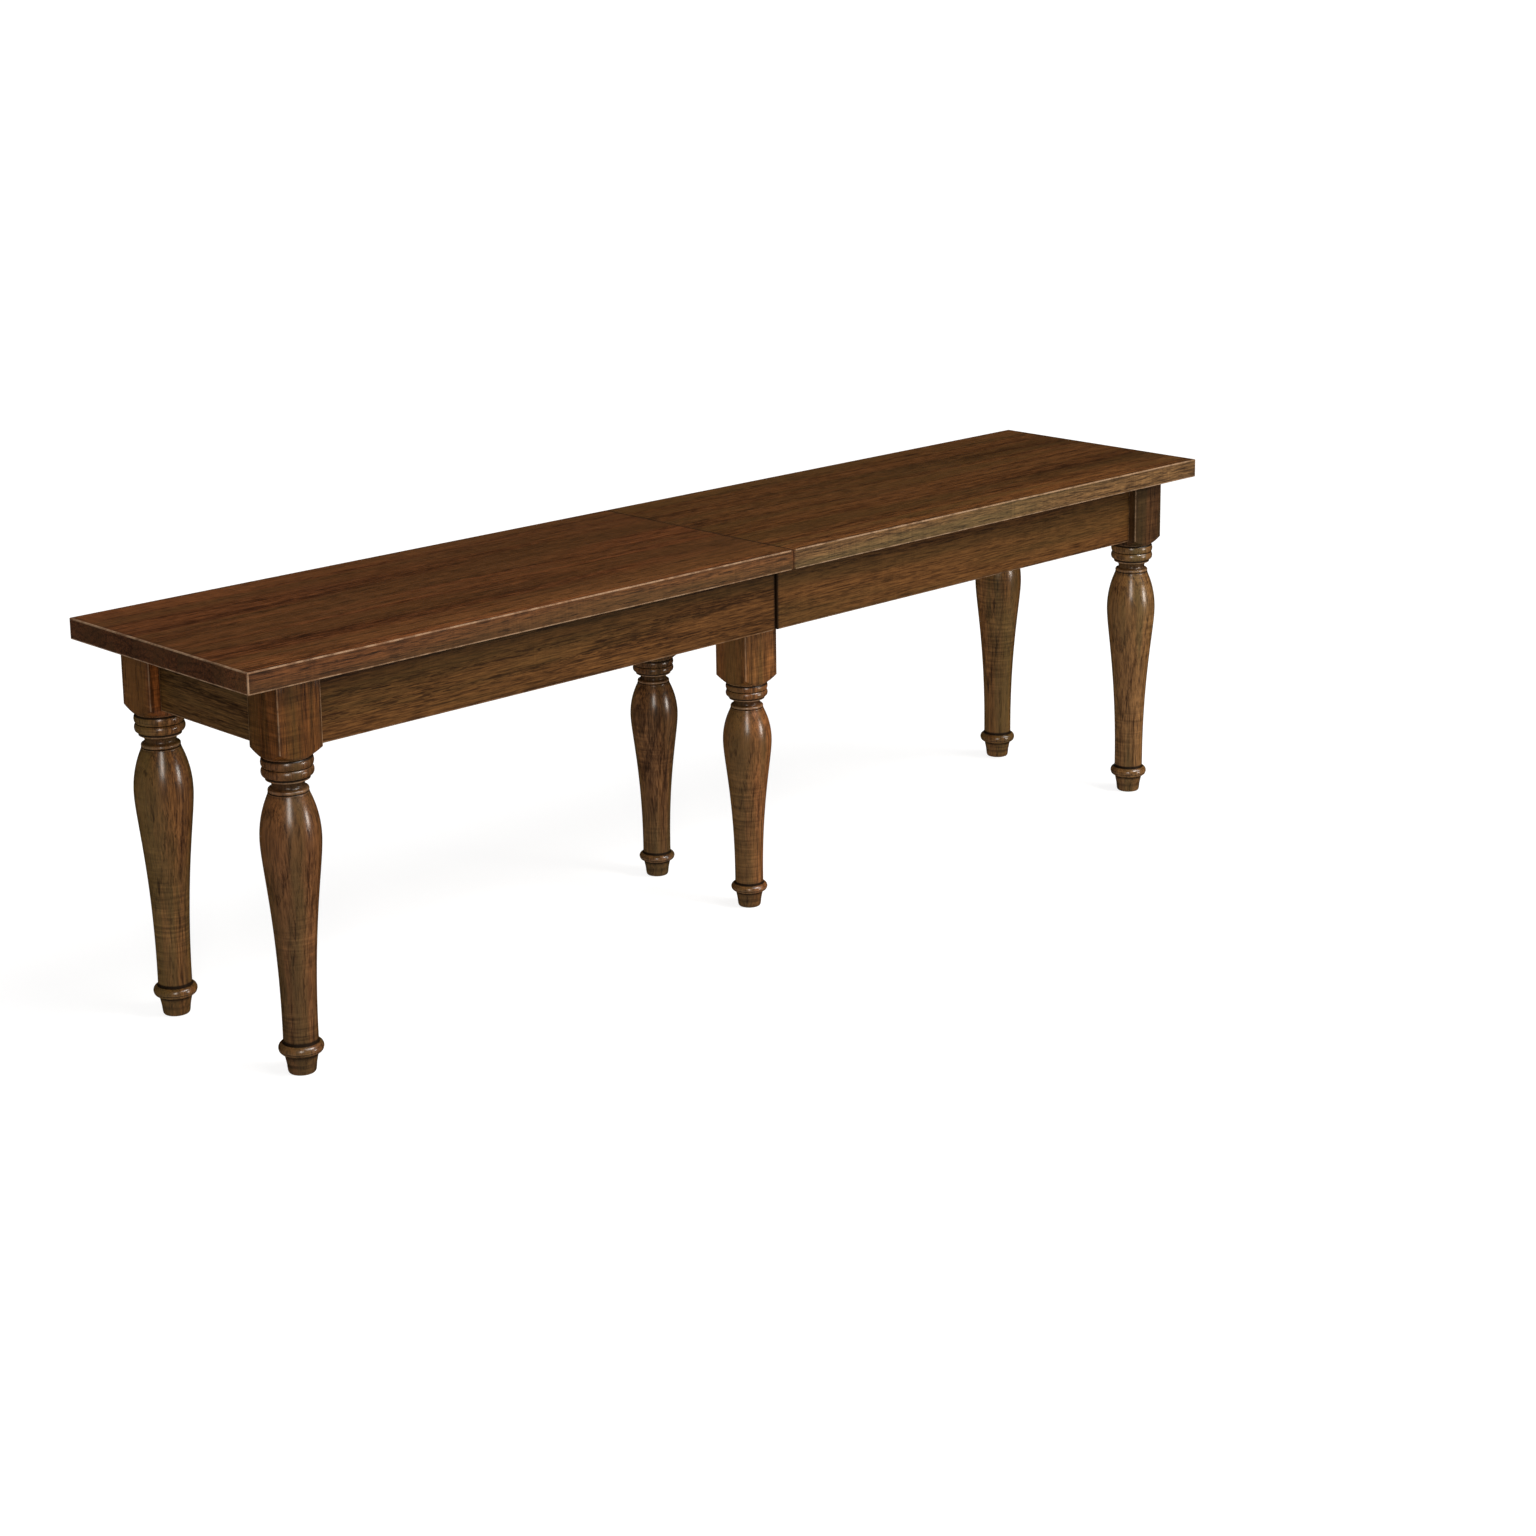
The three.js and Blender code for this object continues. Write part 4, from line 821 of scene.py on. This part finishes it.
def glaze_and_wear(sheet, given):
    """Dark glazing in the grooves, partly painted shade, painted shade beside the arrises and under
    a leg's block, and darker end grain; paler arrises and crowns, partly rubbed by use and partly a
    painted highlight. The masks lie on the mesh; noise breaks them up. The coat is thinner where
    the colour is darkened, and missing from a leg's block, which has the side mask."""
    edge, groove, crown, end, side = (
        sheet.mask(name) for name in ("edge", "groove", "crown", "end", "side"))
    breaks = sheet.span(sheet.noise(given["Place"], 70.0, 70.0, 4.0, 0.65), 0.36, 0.6)
    # Paler arris: partly rubbed by use, partly a painted highlight.
    arris = sheet.times(sheet.span(edge, 0.9, 1.0), sheet.line(breaks, 0.7, 0.3))
    # Painted shade in a band beside each arris.
    beside = sheet.times(sheet.span(edge, 0.25, 0.85), sheet.span(edge, 1.0, 0.9))
    beside = sheet.times(beside, sheet.line(breaks, -0.5, 0.8))
    # Paler crowns of beads and rings: partly rubbed by use, partly a painted highlight.
    crowns = sheet.times(sheet.span(crown, 0.35, 0.95), sheet.line(breaks, 0.6, 0.4))
    # Glazing in the grooves, partly painted shade, with the painted shade under a leg's block that
    # the groove mask holds, and the painted shade beside the arrises.
    dark = sheet.larger(sheet.span(groove, 0.0, 0.42), sheet.times(beside, 0.55))
    dark = sheet.larger(sheet.times(dark, given["Glaze Depth"]),
                        sheet.times(end, given["End Depth"]))
    # Paler wood: rubbing and painted highlight together.
    rubbed = sheet.larger(sheet.times(arris, given["Wear Depth"]),
                          sheet.times(crowns, given["Crown Depth"]))
    colour = sheet.mix(rubbed, sheet.mix(dark, given["Colour"], given["Glaze"]), given["Worn"])
    smears = sheet.noise(given["Place"], 9.0, 9.0, 3.0, 0.6)
    roughness = sheet.line(dark, 0.18, sheet.sway(smears, 0.16, given["Roughness"]))
    thin = sheet.times(sheet.math("SUBTRACT", 1.0, side), sheet.line(dark, -0.7, 1.0))
    return {"Colour": colour, "Roughness": roughness, "Coat": sheet.times(thin, given["Coat"])}


def plated_metal(sheet, given):
    """Zinc plating: a fine spangle of cells, a slow yellow-blue drift, and faint rubbing marks."""
    cells = sheet.node("ShaderNodeTexVoronoi", {"Vector": given["Place"], "Scale": 420.0})
    spangle = sheet.apart(cells.outputs["Color"])[0]
    drift = sheet.noise(given["Place"], 60.0, 60.0)
    rubs = sheet.noise(given["Place"], 40.0, 900.0, 3.0, 0.6)
    colour = sheet.mix(sheet.times(drift, 0.35), given["Colour"], (0.62, 0.56, 0.42))
    colour = sheet.mix(sheet.times(spangle, 0.22), colour, (0.30, 0.31, 0.33))
    return {"Colour": colour, "Roughness": sheet.sway(rubs, 0.3, given["Roughness"]),
            "Height": sheet.line(spangle, 0.5, rubs)}


def new_group(describe):
    """The shader node group of a function that takes a sheet and the group's input sockets, and
    returns its outputs by name. Of these only a Colour is a colour."""
    tree = bpy.data.node_groups.new(describe.__name__, "ShaderNodeTree")
    for label, default in GROUP_INPUTS[describe.__name__].items():
        kind = ("NodeSocketVector" if default is None else
                "NodeSocketFloat" if isinstance(default, float) else "NodeSocketColor")
        socket = tree.interface.new_socket(label, in_out="INPUT", socket_type=kind)
        if default is not None:
            socket.default_value = (*default, 1.0) if kind == "NodeSocketColor" else default
    sheet = Sheet(tree)
    outputs = describe(sheet, sheet.node("NodeGroupInput").outputs)
    for label in outputs:
        kind = "NodeSocketColor" if label == "Colour" else "NodeSocketFloat"
        tree.interface.new_socket(label, in_out="OUTPUT", socket_type=kind)
    sheet.node("NodeGroupOutput", outputs)
    return tree


def group_node(sheet, describe, **inputs):
    """Places a node group in a material, building it the first time. Underscores stand for
    spaces."""
    tree = bpy.data.node_groups.get(describe.__name__) or new_group(describe)
    values = {name.replace("_", " "): value for name, value in inputs.items()}
    return sheet.node("ShaderNodeGroup", values, node_tree=tree).outputs


def new_material(name, **constants):
    """A material with a Principled shader whose constant sockets are set here: (material, sheet,
    shader node)."""
    material = bpy.data.materials.new(name)
    material.use_nodes = True
    sheet = Sheet(material.node_tree)
    shader = material.node_tree.nodes["Principled BSDF"]
    for socket, value in constants.items():
        shader.inputs[socket.replace("_", " ")].default_value = value
    return material, sheet, shader


# Strength and depth of the bump of each finish.
STAINED_BUMP, BARE_BUMP, PLATED_BUMP = (0.25, 0.15 * MM), (0.3, 0.1 * MM), (0.12, 0.05 * MM)


def finish_with(sheet, shader, look, height, strength, depth):
    """Links a group's colour and roughness, and the bump of a height, to a Principled shader."""
    bump = sheet.node("ShaderNodeBump", {"Height": height, "Strength": strength, "Distance": depth})
    sheet.put(look["Colour"], shader.inputs["Base Color"])
    sheet.put(look["Roughness"], shader.inputs["Roughness"])
    sheet.put(bump.outputs[0], shader.inputs["Normal"])


def grain_frame(sheet, turn, node, shift):
    """Object coordinates turned and moved into the grain's own frame: the centre of the node's box
    goes to the shift, which picks its place in the log."""
    euler = Euler([math.radians(angle) for angle in turn])
    place = Vector(shift) - euler.to_matrix() @ Vector(centre_of(node))
    mapping = sheet.node("ShaderNodeMapping", {"Vector": sheet.place(), "Rotation": euler,
                                               "Location": place}, vector_type="POINT")
    return mapping.outputs[0]


ALONG_X, ALONG_Y, ALONG_X_ON_EDGE, ALONG_Y_ON_EDGE, ALONG_Z = (
    (0, 0, 0), (0, 0, 90), (90, 0, 0), (0, -90, -90), (0, 90, 0))


def stained_wood(name, finish, node, turn, shift, shade, grain_values, gloss, roughness,
                 glaze=0.8, wear_and_highlight=0.35, end=0.6, figure=0.0, side=None, band=None, coat=0.0):
    """Stained, glazed and lacquered wood whose grain lies as the turn and the shift say. The shade
    deepens or thins the stain of one piece; on the legs it is painted light and shade, a lit or
    shaded copy of the one stain for each leg. The side's two colours multiply the colour where the
    mesh has its side mask, the first at one end of the piece and the second at the other, blended
    between the two places along the grain that follow them: painted shade and sheen on the seat's
    narrow faces, painted light and shade on a leg's block. A band, (from, to, factor, wave),
    multiplies the colour of one side of a board by the factor, fading out between two places across
    the grain: on the aprons it is the painted shadow of the seat, and on the seat it makes the
    front of the top paler. The coat is clear lacquer, polished on turned wood."""
    material, sheet, shader = new_material(name, Specular_IOR_Level=gloss, Coat_Roughness=0.23)
    grain = grain_frame(sheet, turn, node, shift)
    light, dark, drift = (np.multiply(shade, colour).tolist() for colour in
                          (finish.light, finish.dark, finish.olive))
    wood = group_node(sheet, stained_grain, Grain=grain, Light=light, Dark=dark, Drift=drift,
                      Pore=finish.pore, **dict(zip(GRAIN_INPUTS, grain_values)))
    colour = wood["Colour"]
    if figure:
        factor = group_node(sheet, cross_figure, Grain=grain, Depth=figure)["Factor"]
        colour = sheet.mix(1.0, colour, factor, "MULTIPLY")
    if band:
        low, high, factor, wave = band
        colour = group_node(sheet, side_band, Colour=colour, Grain=grain, From=low, To=high,
                            Factor=factor, Wave=wave)["Colour"]
    if side:
        near, far, begin, stop = side
        colour = group_node(sheet, face_tint, Colour=colour, Grain=grain, Near=near, Far=far,
                            Begin=shift[0] + begin, End=shift[0] + stop)["Colour"]
    aged = group_node(sheet, glaze_and_wear, Colour=colour, Place=grain, Glaze=finish.glaze,
                      Worn=finish.worn, Glaze_Depth=glaze, Wear_Depth=wear_and_highlight, End_Depth=end,
                      Roughness=roughness, Coat=coat)
    finish_with(sheet, shader, aged, wood["Height"], *STAINED_BUMP)
    if coat:
        sheet.put(aged["Coat"], shader.inputs["Coat Weight"])
    return material


def bare_wood(name, finish, node, turn, shift):
    """Planed wood without stain, for the slides, braces and dowels."""
    material, sheet, shader = new_material(name, Specular_IOR_Level=0.3)
    wood = group_node(sheet, stained_grain, Grain=grain_frame(sheet, turn, node, shift),
                      Light=finish.bare_light, Dark=finish.bare_dark, Drift=finish.bare_light,
                      Pore=finish.bare_dark, **dict(zip(GRAIN_INPUTS, BARE_GRAIN)))
    roughness = sheet.span(wood["Tone"], 0.0, 1.0, 0.62, 0.5, "LINEAR")
    look = {"Colour": wood["Colour"], "Roughness": roughness}
    finish_with(sheet, shader, look, wood["Height"], *BARE_BUMP)
    return material


def plated_steel(finish):
    """Zinc plated steel of the bolts, racks, pinions and locks, made the first time."""
    name = "zinc_plating"
    if name in bpy.data.materials:
        return bpy.data.materials[name]
    material, sheet, shader = new_material(name, Metallic=1.0)
    metal = group_node(sheet, plated_metal, Place=sheet.place(), Colour=finish.plating,
                       Roughness=0.36)
    finish_with(sheet, shader, metal, metal["Height"], *PLATED_BUMP)
    return material


# Looks of the stained pieces. A grain's values are in the order of GRAIN_INPUTS.
SEAT_LOOK = {"grain_values": (0.0835, 0.0085, 0.02, 0.045, 0.22, 0.8, 1.9, 3.6, 0.9, 0.5),
             "gloss": 0.1, "roughness": 0.55, "wear_and_highlight": 0.75, "figure": 0.8,
             "band": (-0.155, -0.085, 1.55, 0.06)}
APRON_LOOK = {"grain_values": (10.0, 0.0062, 0.016, 0.07, 0.26, 0.5, 2.0, 3.0, 0.85, 0.45),
              "gloss": 0.04, "roughness": 0.5}
LEG_LOOK = {"grain_values": (10.0, 0.0075, 0.01, 0.05, 0.25, 1.3, 1.9, 2.4, 0.75, 0.8),
            "gloss": 0.08, "roughness": 0.4, "coat": 0.8, "glaze": 0.95, "figure": 2.2}
# Painted shadow of the seat's overhang along the top of each long apron.
APRON_SEAT_SHADOW = (-0.028, -0.005, 0.45, 0.004)
SEAT_SHADES, SEAT_END_DEPTHS = ((0.72, 0.64, 0.66), (0.66, 0.67, 0.64)), (0.4, 0.6)
APRON_SHADE, END_APRON_SHADE = (0.62, 0.71, 0.76), (0.58, 0.75, 0.84)

# Tints of the seat's narrow faces, painted shade on the left board and a painted sheen growing
# paler towards the right, with the places that they are blended between.
SEAT_SIDE_SHADE_AND_SHEEN = (((0.52, 0.56, 0.58), (0.70, 0.84, 0.92), -0.3, 0.38),
              ((0.90, 1.25, 1.85), (0.92, 1.3, 1.9), -0.38, 0.38))

# Painted light and shade of each leg, a lit or shaded copy of the one stain, and of its block:
# front left, front right, rear left and rear right, then the front and the rear centre leg.
LEG_PAINTED_LIGHT = ((0.79, 0.88, 1.12), (1.08, 1.42, 1.80), (1.12, 1.28, 1.40), (1.05, 1.22, 1.30),
              (1.12, 1.18, 1.40), (0.94, 1.14, 1.45))
BLOCK_PAINTED_LIGHT = ((0.83, 0.70, 0.45), (0.38, 0.34, 0.38), (1.02, 0.76, 0.66), (0.8, 0.7, 0.65),
               (0.88, 0.88, 0.76), (0.88, 0.88, 0.76))

# Sizes of the legs in metres, and where the two halves of the seat meet, this far from the middle.
CORNER_LEG = {"belly": 32.2 * MM, "foot": 22 * MM, "ring": 12 * MM, "side": 54 * MM,
              "bottom": 346.75 * MM, "top": 433.15 * MM, "flat": 32.18 * MM}
CENTRE_LEG = {"belly": 29.5 * MM, "foot": 19.8 * MM, "ring": 9.6 * MM, "side": 51.8 * MM,
              "bottom": 282.45 * MM, "top": 368.85 * MM, "tenon": (12 * MM, 390.1 * MM)}
SEAT_MEET = 0.02 * MM

DOWELS = (1, 2, 3)
DOWEL_HOLE = {"radius": 5.15 * MM, "depth": 13 * MM}
NUT = {"thick": 6.5 * MM, "apothem": 6.49 * MM, "bore": 4.0 * MM}

# Places of the screws in millimetres: along a rail from the middle, and the lines of the outer and
# the inner rails; from the middle of the cross board; from the middle of a brace; and from the
# middle of a lock plate, whose screws stand on their own plane.
RAIL_SCREWS, RAIL_LINES = (20, 150, 290, 430, 570), {"left": 74.1, "right": 29.9}
BOLSTER_SCREWS, BRACE_SCREWS = (-35, 35), (-36, 36)
PLATE_SCREWS, PLATE_PLANE = tuple((x, z) for x in (-10, 10) for z in (-8, 8)), 114.45
WOOD_SCREW, PLATE_SCREW = 3.9 * MM, 2.0 * MM


def centre_of(node):
    """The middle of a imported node's box."""
    low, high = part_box(node)
    return (low + high) / 2


# Operators: one for each group of pieces.

class MakeSeat(bpy.types.Operator):
    """Make the two halves of the seat"""

    bl_idname = "bench.make_seat"
    bl_label = "Seat"

    def execute(self, context):
        sizes, finish = context.scene.bench_sizes, context.scene.bench_finish
        for number, (end, order) in enumerate(zip(ENDS, (1, -1))):
            node = f"seat_top_{end}"
            piece = board(f"seat_board_{end}", node, sizes.seat_arris,
                          (sizes.seat_arris, sizes.split_arris)[::order], (False, True)[::order],
                          meet=-SEAT_MEET * order)
            if end == "right":
                dowels = [centre_of(f"alignment_dowel_{number}") for number in DOWELS]
                drill(piece, [(SEAT_MEET, y, z) for _, y, z in dowels], way=1, **DOWEL_HOLE)
            # Painted shade and sheen on the seat's narrow faces.
            stand_for(piece, node, stained_wood(
                f"seat_stain_{end}", finish, node, ALONG_X, (3.1 + 5.7 * number, 0.0, 0.0),
                SEAT_SHADES[number], end=SEAT_END_DEPTHS[number], side=SEAT_SIDE_SHADE_AND_SHEEN[number],
                **SEAT_LOOK))
        return {"FINISHED"}


class MakeAprons(bpy.types.Operator):
    """Make the long aprons and the end aprons"""

    bl_idname = "bench.make_aprons"
    bl_label = "Aprons"

    def execute(self, context):
        finish, arris = context.scene.bench_finish, context.scene.bench_sizes.apron_arris
        for number, end in enumerate(ENDS):
            joints = (end == "right", end == "left")
            for side in SIDES:
                node = f"apron_{side}_{end}"
                piece = board(f"apron_board_{side}_{end}", node, arris, (arris, arris), joints)
                # Painted shadow of the seat along the top of the apron.
                stand_for(piece, node, stained_wood(
                    f"apron_stain_{side}_{end}", finish, node, ALONG_X_ON_EDGE,
                    (1.3 + 4.1 * number, 0.01, 0.0), APRON_SHADE, end=0.95, figure=0.4,
                    band=APRON_SEAT_SHADOW, **APRON_LOOK))
            node = f"apron_end_{end}"
            piece = board(f"apron_board_end_{end}", node, arris, (arris, arris), axis=1)
            stand_for(piece, node, stained_wood(
                f"apron_stain_end_{end}", finish, node, ALONG_Y_ON_EDGE,
                (9.2 + 3.3 * number, 0.01, 0.0), END_APRON_SHADE, **APRON_LOOK))
        return {"FINISHED"}


def make_leg(context, where, number, sizes, shift):
    """Turns and finishes one leg: its place in the names, its number in the tables, its sizes and
    its place in the log."""
    node = f"leg_{where}"
    piece = leg(f"turned_leg_{where}", node, context.scene.bench_sizes, **sizes)
    # Painted light and shade of the leg and of its block.
    painted_tint = BLOCK_PAINTED_LIGHT[number]
    stand_for(piece, node, stained_wood(
        f"leg_stain_{where}", context.scene.bench_finish, node, ALONG_Z, shift, LEG_PAINTED_LIGHT[number],
        side=(painted_tint, painted_tint, 0.0, 0.1), **LEG_LOOK))


class MakeCornerLegs(bpy.types.Operator):
    """Turn the four corner legs"""

    bl_idname = "bench.make_corner_legs"
    bl_label = "Corner legs"

    def execute(self, context):
        for number, where in enumerate(f"{side}_{end}" for side in SIDES for end in ENDS):
            make_leg(context, where, number, CORNER_LEG, (2.7 + 1.9 * number, 0.004 * number, 0.0))
        return {"FINISHED"}


class MakeCentreLegs(bpy.types.Operator):
    """Turn the two lighter legs under the middle"""

    bl_idname = "bench.make_centre_legs"
    bl_label = "Centre legs"

    def execute(self, context):
        for number, side in enumerate(SIDES):
            shift = (12.7 + 2.3 * number, 0.01, 0.0)
            make_leg(context, f"{side}_centre", 4 + number, CENTRE_LEG, shift)
        return {"FINISHED"}


class DressSlides(bpy.types.Operator):
    """Finish the slides, racks, pinions, cross board and braces"""

    bl_idname = "bench.dress_slides"
    bl_label = "Slides and braces"

    def execute(self, context):
        finish = context.scene.bench_finish
        for number, node in enumerate(sorted(frame["nodes"])):
            if node.startswith(("hanger_", "pinion_axle", "alignment_dowel")):
                continue
            if SLOT_OF[node] == "plain_wood":
                turn, shift = self.turn(node), (1.7 * number, 0, 0)
                dress(node, bare_wood(f"bare_{node}", finish, node, turn, shift))
            elif SLOT_OF[node] == "steel":
                dress(node, plated_steel(finish))
        return {"FINISHED"}

    def turn(self, node):
        """The grain's turn: along a brace, across the bench on the cross board, and else along
        it."""
        if node.startswith("corner_brace"):
            return (0, 0, 45) if node.endswith(("front_left", "rear_right")) else (0, 0, -45)
        return ALONG_Y if node == "centre_bolster" else ALONG_X


class MakeFixings(bpy.types.Operator):
    """Make the hanger bolts and nuts, the pinions' axles, the dowels and the screws"""

    bl_idname = "bench.make_fixings"
    bl_label = "Bolts, axles, dowels and screws"

    def execute(self, context):
        finish = context.scene.bench_finish
        steel = plated_steel(finish)
        for side, y in zip(SIDES, (-1, 1)):
            for end, x in zip(ENDS, (-1, 1)):
                outward = np.array((x, y, 0)) / math.sqrt(2)
                node = f"hanger_bolt_{side}_{end}"
                low, high = bounds_of(node)
                length = (high[0] - low[0]) * math.sqrt(2) - (high[2] - low[2])
                bolt = hanger_bolt(f"threaded_bolt_{side}_{end}", (low + high) / 2, outward, length)
                stand_for(bolt, node, steel)
                node = f"hanger_nut_{side}_{end}"
                nut = hex_nut(f"chamfered_nut_{side}_{end}", centre_of(node), -outward, **NUT)
                stand_for(nut, node, steel)
            node = f"pinion_axle_{side}"
            stand_for(axle(f"headed_axle_{side}", *bounds_of(node)), node, steel)
        for number in DOWELS:
            node = f"alignment_dowel_{number}"
            piece = fluted_dowel(f"fluted_dowel_{number}", *bounds_of(node))
            shift = (0.9 * number, 0.02, 0)
            stand_for(piece, node, bare_wood(f"dowel_wood_{number}", finish, node, ALONG_X, shift))
        self.half_screws("left", -1, steel)
        self.half_screws("right", 1, steel)
        low, rail = bounds_of("centre_bolster")[0][2], centre_of("pinion_axle_rear")[1]
        self.screws("wood", "centre_frame", WOOD_SCREW, steel, [
            ((x * MM, y * rail, low), (0, 0, -1)) for x in BOLSTER_SCREWS for y in (-1, 1)])
        return {"FINISHED"}

    def half_screws(self, name, end, steel):
        """The screws of one half: rails seen from below, braces from inside, lock plates from
        behind."""
        low = bounds_of(f"slide_rail_{name}_rear")[0][2]
        wood, plates = [], []
        for side, y in zip(SIDES, (-1, 1)):
            line = y * RAIL_LINES[name] * MM
            wood += [((end * x * MM, line, low), (0, 0, -1)) for x in RAIL_SCREWS]
            brace = centre_of(f"corner_brace_{side}_{name}")
            inward, along = (np.array((way * end, -y, 0)) / math.sqrt(2) for way in (-1, 1))
            wood += [(np.array(brace) + offset * MM * along, inward) for offset in BRACE_SCREWS]
            plate = centre_of(f"lock_{'base' if end < 0 else 'strike'}_{side}")
            plates += [((plate[0] + x * MM, y * PLATE_PLANE * MM, plate[2] + z * MM), (0, -y, 0))
                       for x, z in PLATE_SCREWS]
        self.screws("wood", f"{name}_half", WOOD_SCREW, steel, wood)
        self.screws("plate", f"{name}_half", PLATE_SCREW, steel, plates)

    def screws(self, kind, body, radius, steel, heads):
        """Makes the screws of one kind on a body as one piece. A head is its place and its way."""
        piece = screw_heads(f"{kind}_screws_{body}", *zip(*heads), radius)
        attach(piece, body)
        piece.data.materials.append(steel)


# The studio. The camera's turn is yaw, pitch and roll in radians. A sun is its property, spread in
# degrees and place. A panel is its property, width, height, colour, place and what it faces.
CAMERA_PLACE, CAMERA_TURN = (-2.3253, -2.5267, 1.1981), (0.769, -0.221, -0.012)
CAMERA_SHIFT, SENSOR_WIDTH = -0.14, 36.0
FLOOR_REACH, FLOOR_GLOW, FLOOR_DRIFT = 60.0, 0.82, 0.985
TARGET = (0.0, 0.0, 0.3)
SUNS = (("key", 40, (1.4, -2.7, 4.0)), ("fill", 60, (0.8, 2.5, 3.0)))
PANELS = (("strip", 0.7, 1.8, (1.0, 0.93, 0.85), (-2.5, -2.7, 1.5), TARGET),
          ("side", 0.6, 0.8, (1.0, 0.93, 0.85), (1.7, -3.2, 0.5), (0.0, 0.0, 0.24)),
          ("high", 0.45, 0.45, (1.0, 0.94, 0.87), (0.9, -2.3, 2.9), TARGET))


class MakeStudio(bpy.types.Operator):
    """Place the floor, the lights and the camera"""

    bl_idname = "bench.make_studio"
    bl_label = "Studio"

    def execute(self, context):
        studio = context.scene.bench_studio
        self.make_floor(context, studio)
        self.make_lights(context, studio)
        self.make_camera(context, studio)
        return {"FINISHED"}

    def make_floor(self, context, studio):
        """A flat floor that reaches past the picture's upper edge."""
        corners = np.array([(-1, -1, 0), (1, -1, 0), (1, 1, 0), (-1, 1, 0)]) * FLOOR_REACH
        mesh = bpy.data.meshes.new("studio_floor")
        mesh.from_pydata(corners.tolist(), [], [(0, 1, 2, 3)])
        floor = bpy.data.objects.new("studio_floor", mesh)
        context.scene.collection.objects.link(floor)
        material, sheet, shader = new_material(
            "floor_paint", Roughness=0.9, Specular_IOR_Level=0.1,
            Emission_Color=(1.0, 1.0, 1.0, 1.0), Emission_Strength=FLOOR_GLOW)
        drift = sheet.noise(sheet.place(), 0.6, 0.6)
        shade = sheet.mix(drift, studio.floor, [FLOOR_DRIFT * value for value in studio.floor])
        sheet.put(shade, shader.inputs["Base Color"])
        mesh.materials.append(material)
        floor.visible_glossy = False

    def make_lights(self, context, studio):
        """A soft sky, which the camera sees as a white wall, a broad sun from the front and right,
        a weak one from behind, and three panels: a tall one by the camera, a low one in front at
        the right, which keeps its glare off the seat, and a small one above the front."""
        world = bpy.data.worlds.new("studio_sky")
        world.use_nodes = True
        sheet = Sheet(world.node_tree)
        background = world.node_tree.nodes["Background"]
        background.inputs["Color"].default_value = (1.0, 1.0, 1.0, 1.0)
        seen = sheet.node("ShaderNodeLightPath").outputs["Is Camera Ray"]
        strength = sheet.line(seen, studio.wall - studio.sky, studio.sky)
        sheet.put(strength, background.inputs["Strength"])
        context.scene.world = world
        world.cycles_visibility.glossy = False
        context.scene.view_settings.view_transform = "Standard"
        for name, spread, place in SUNS:
            sun = bpy.data.lights.new(name, "SUN")
            sun.energy, sun.angle = getattr(studio, name), math.radians(spread)
            self.aim(context, sun, place, TARGET).visible_glossy = name != "fill"
        for name, width, height, colour, place, target in PANELS:
            panel = bpy.data.lights.new(name, "AREA")
            panel.shape = "RECTANGLE"
            panel.size, panel.size_y, panel.color = width, height, colour
            panel.energy = getattr(studio, name)
            self.aim(context, panel, place, target)

    def aim(self, context, light, place, target):
        """Puts a light at a place, its own Z away from the target."""
        lamp = bpy.data.objects.new(light.name, light)
        turn = (Vector(place) - Vector(target)).to_track_quat("Z", "Y").to_matrix().to_4x4()
        lamp.matrix_world = Matrix.Translation(place) @ turn
        context.scene.collection.objects.link(lamp)
        return lamp

    def make_camera(self, context, studio):
        """The photograph's viewing angle: a level camera that looks along Y, rolled round its own
        axis, dipped by the pitch and turned by the yaw."""
        yaw, pitch, roll = CAMERA_TURN
        data = bpy.data.cameras.new("photo_camera")
        data.sensor_width, data.lens, data.shift_y = SENSOR_WIDTH, studio.lens, CAMERA_SHIFT
        data.clip_start, data.clip_end = 0.05, 200.0
        camera = bpy.data.objects.new("photo_camera", data)
        aimed = Euler((math.pi / 2 + pitch, 0, -yaw)).to_matrix().to_4x4()
        rolled = Matrix.Rotation(roll, 4, "Z")
        camera.matrix_world = Matrix.Translation(CAMERA_PLACE) @ aimed @ rolled
        context.scene.collection.objects.link(camera)
        context.scene.camera = camera


STEPS = (MakeStudio, MakeSeat, MakeAprons, MakeCornerLegs, MakeCentreLegs, MakeFixings, DressSlides)


class BENCH_PT_panel(bpy.types.Panel):
    """Lists the steps that build the bench, and their values"""

    bl_label = "Dining bench"
    bl_idname = "BENCH_PT_panel"
    bl_space_type = "VIEW_3D"
    bl_region_type = "UI"
    bl_category = "Bench"

    def draw(self, context):
        for step in STEPS:
            self.layout.operator(step.bl_idname)
        for group in GROUPS:
            box = self.layout.box()
            values = getattr(context.scene, group)
            for name in values.__annotations__:
                box.prop(values, name)


CLASSES = (BenchSizes, BenchFinish, BenchStudio, *STEPS, BENCH_PT_panel)
GROUPS = {"bench_sizes": BenchSizes, "bench_finish": BenchFinish, "bench_studio": BenchStudio}


def register():
    for item in CLASSES:
        bpy.utils.register_class(item)
    for name, group in GROUPS.items():
        setattr(bpy.types.Scene, name, bpy.props.PointerProperty(type=group))


def unregister():
    for name in GROUPS:
        delattr(bpy.types.Scene, name)
    for item in reversed(CLASSES):
        bpy.utils.unregister_class(item)


def main():
    register()
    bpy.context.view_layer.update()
    for step in STEPS:
        group, name = step.bl_idname.split(".")
        getattr(getattr(bpy.ops, group), name)()


if __name__ == "__main__":
    main()
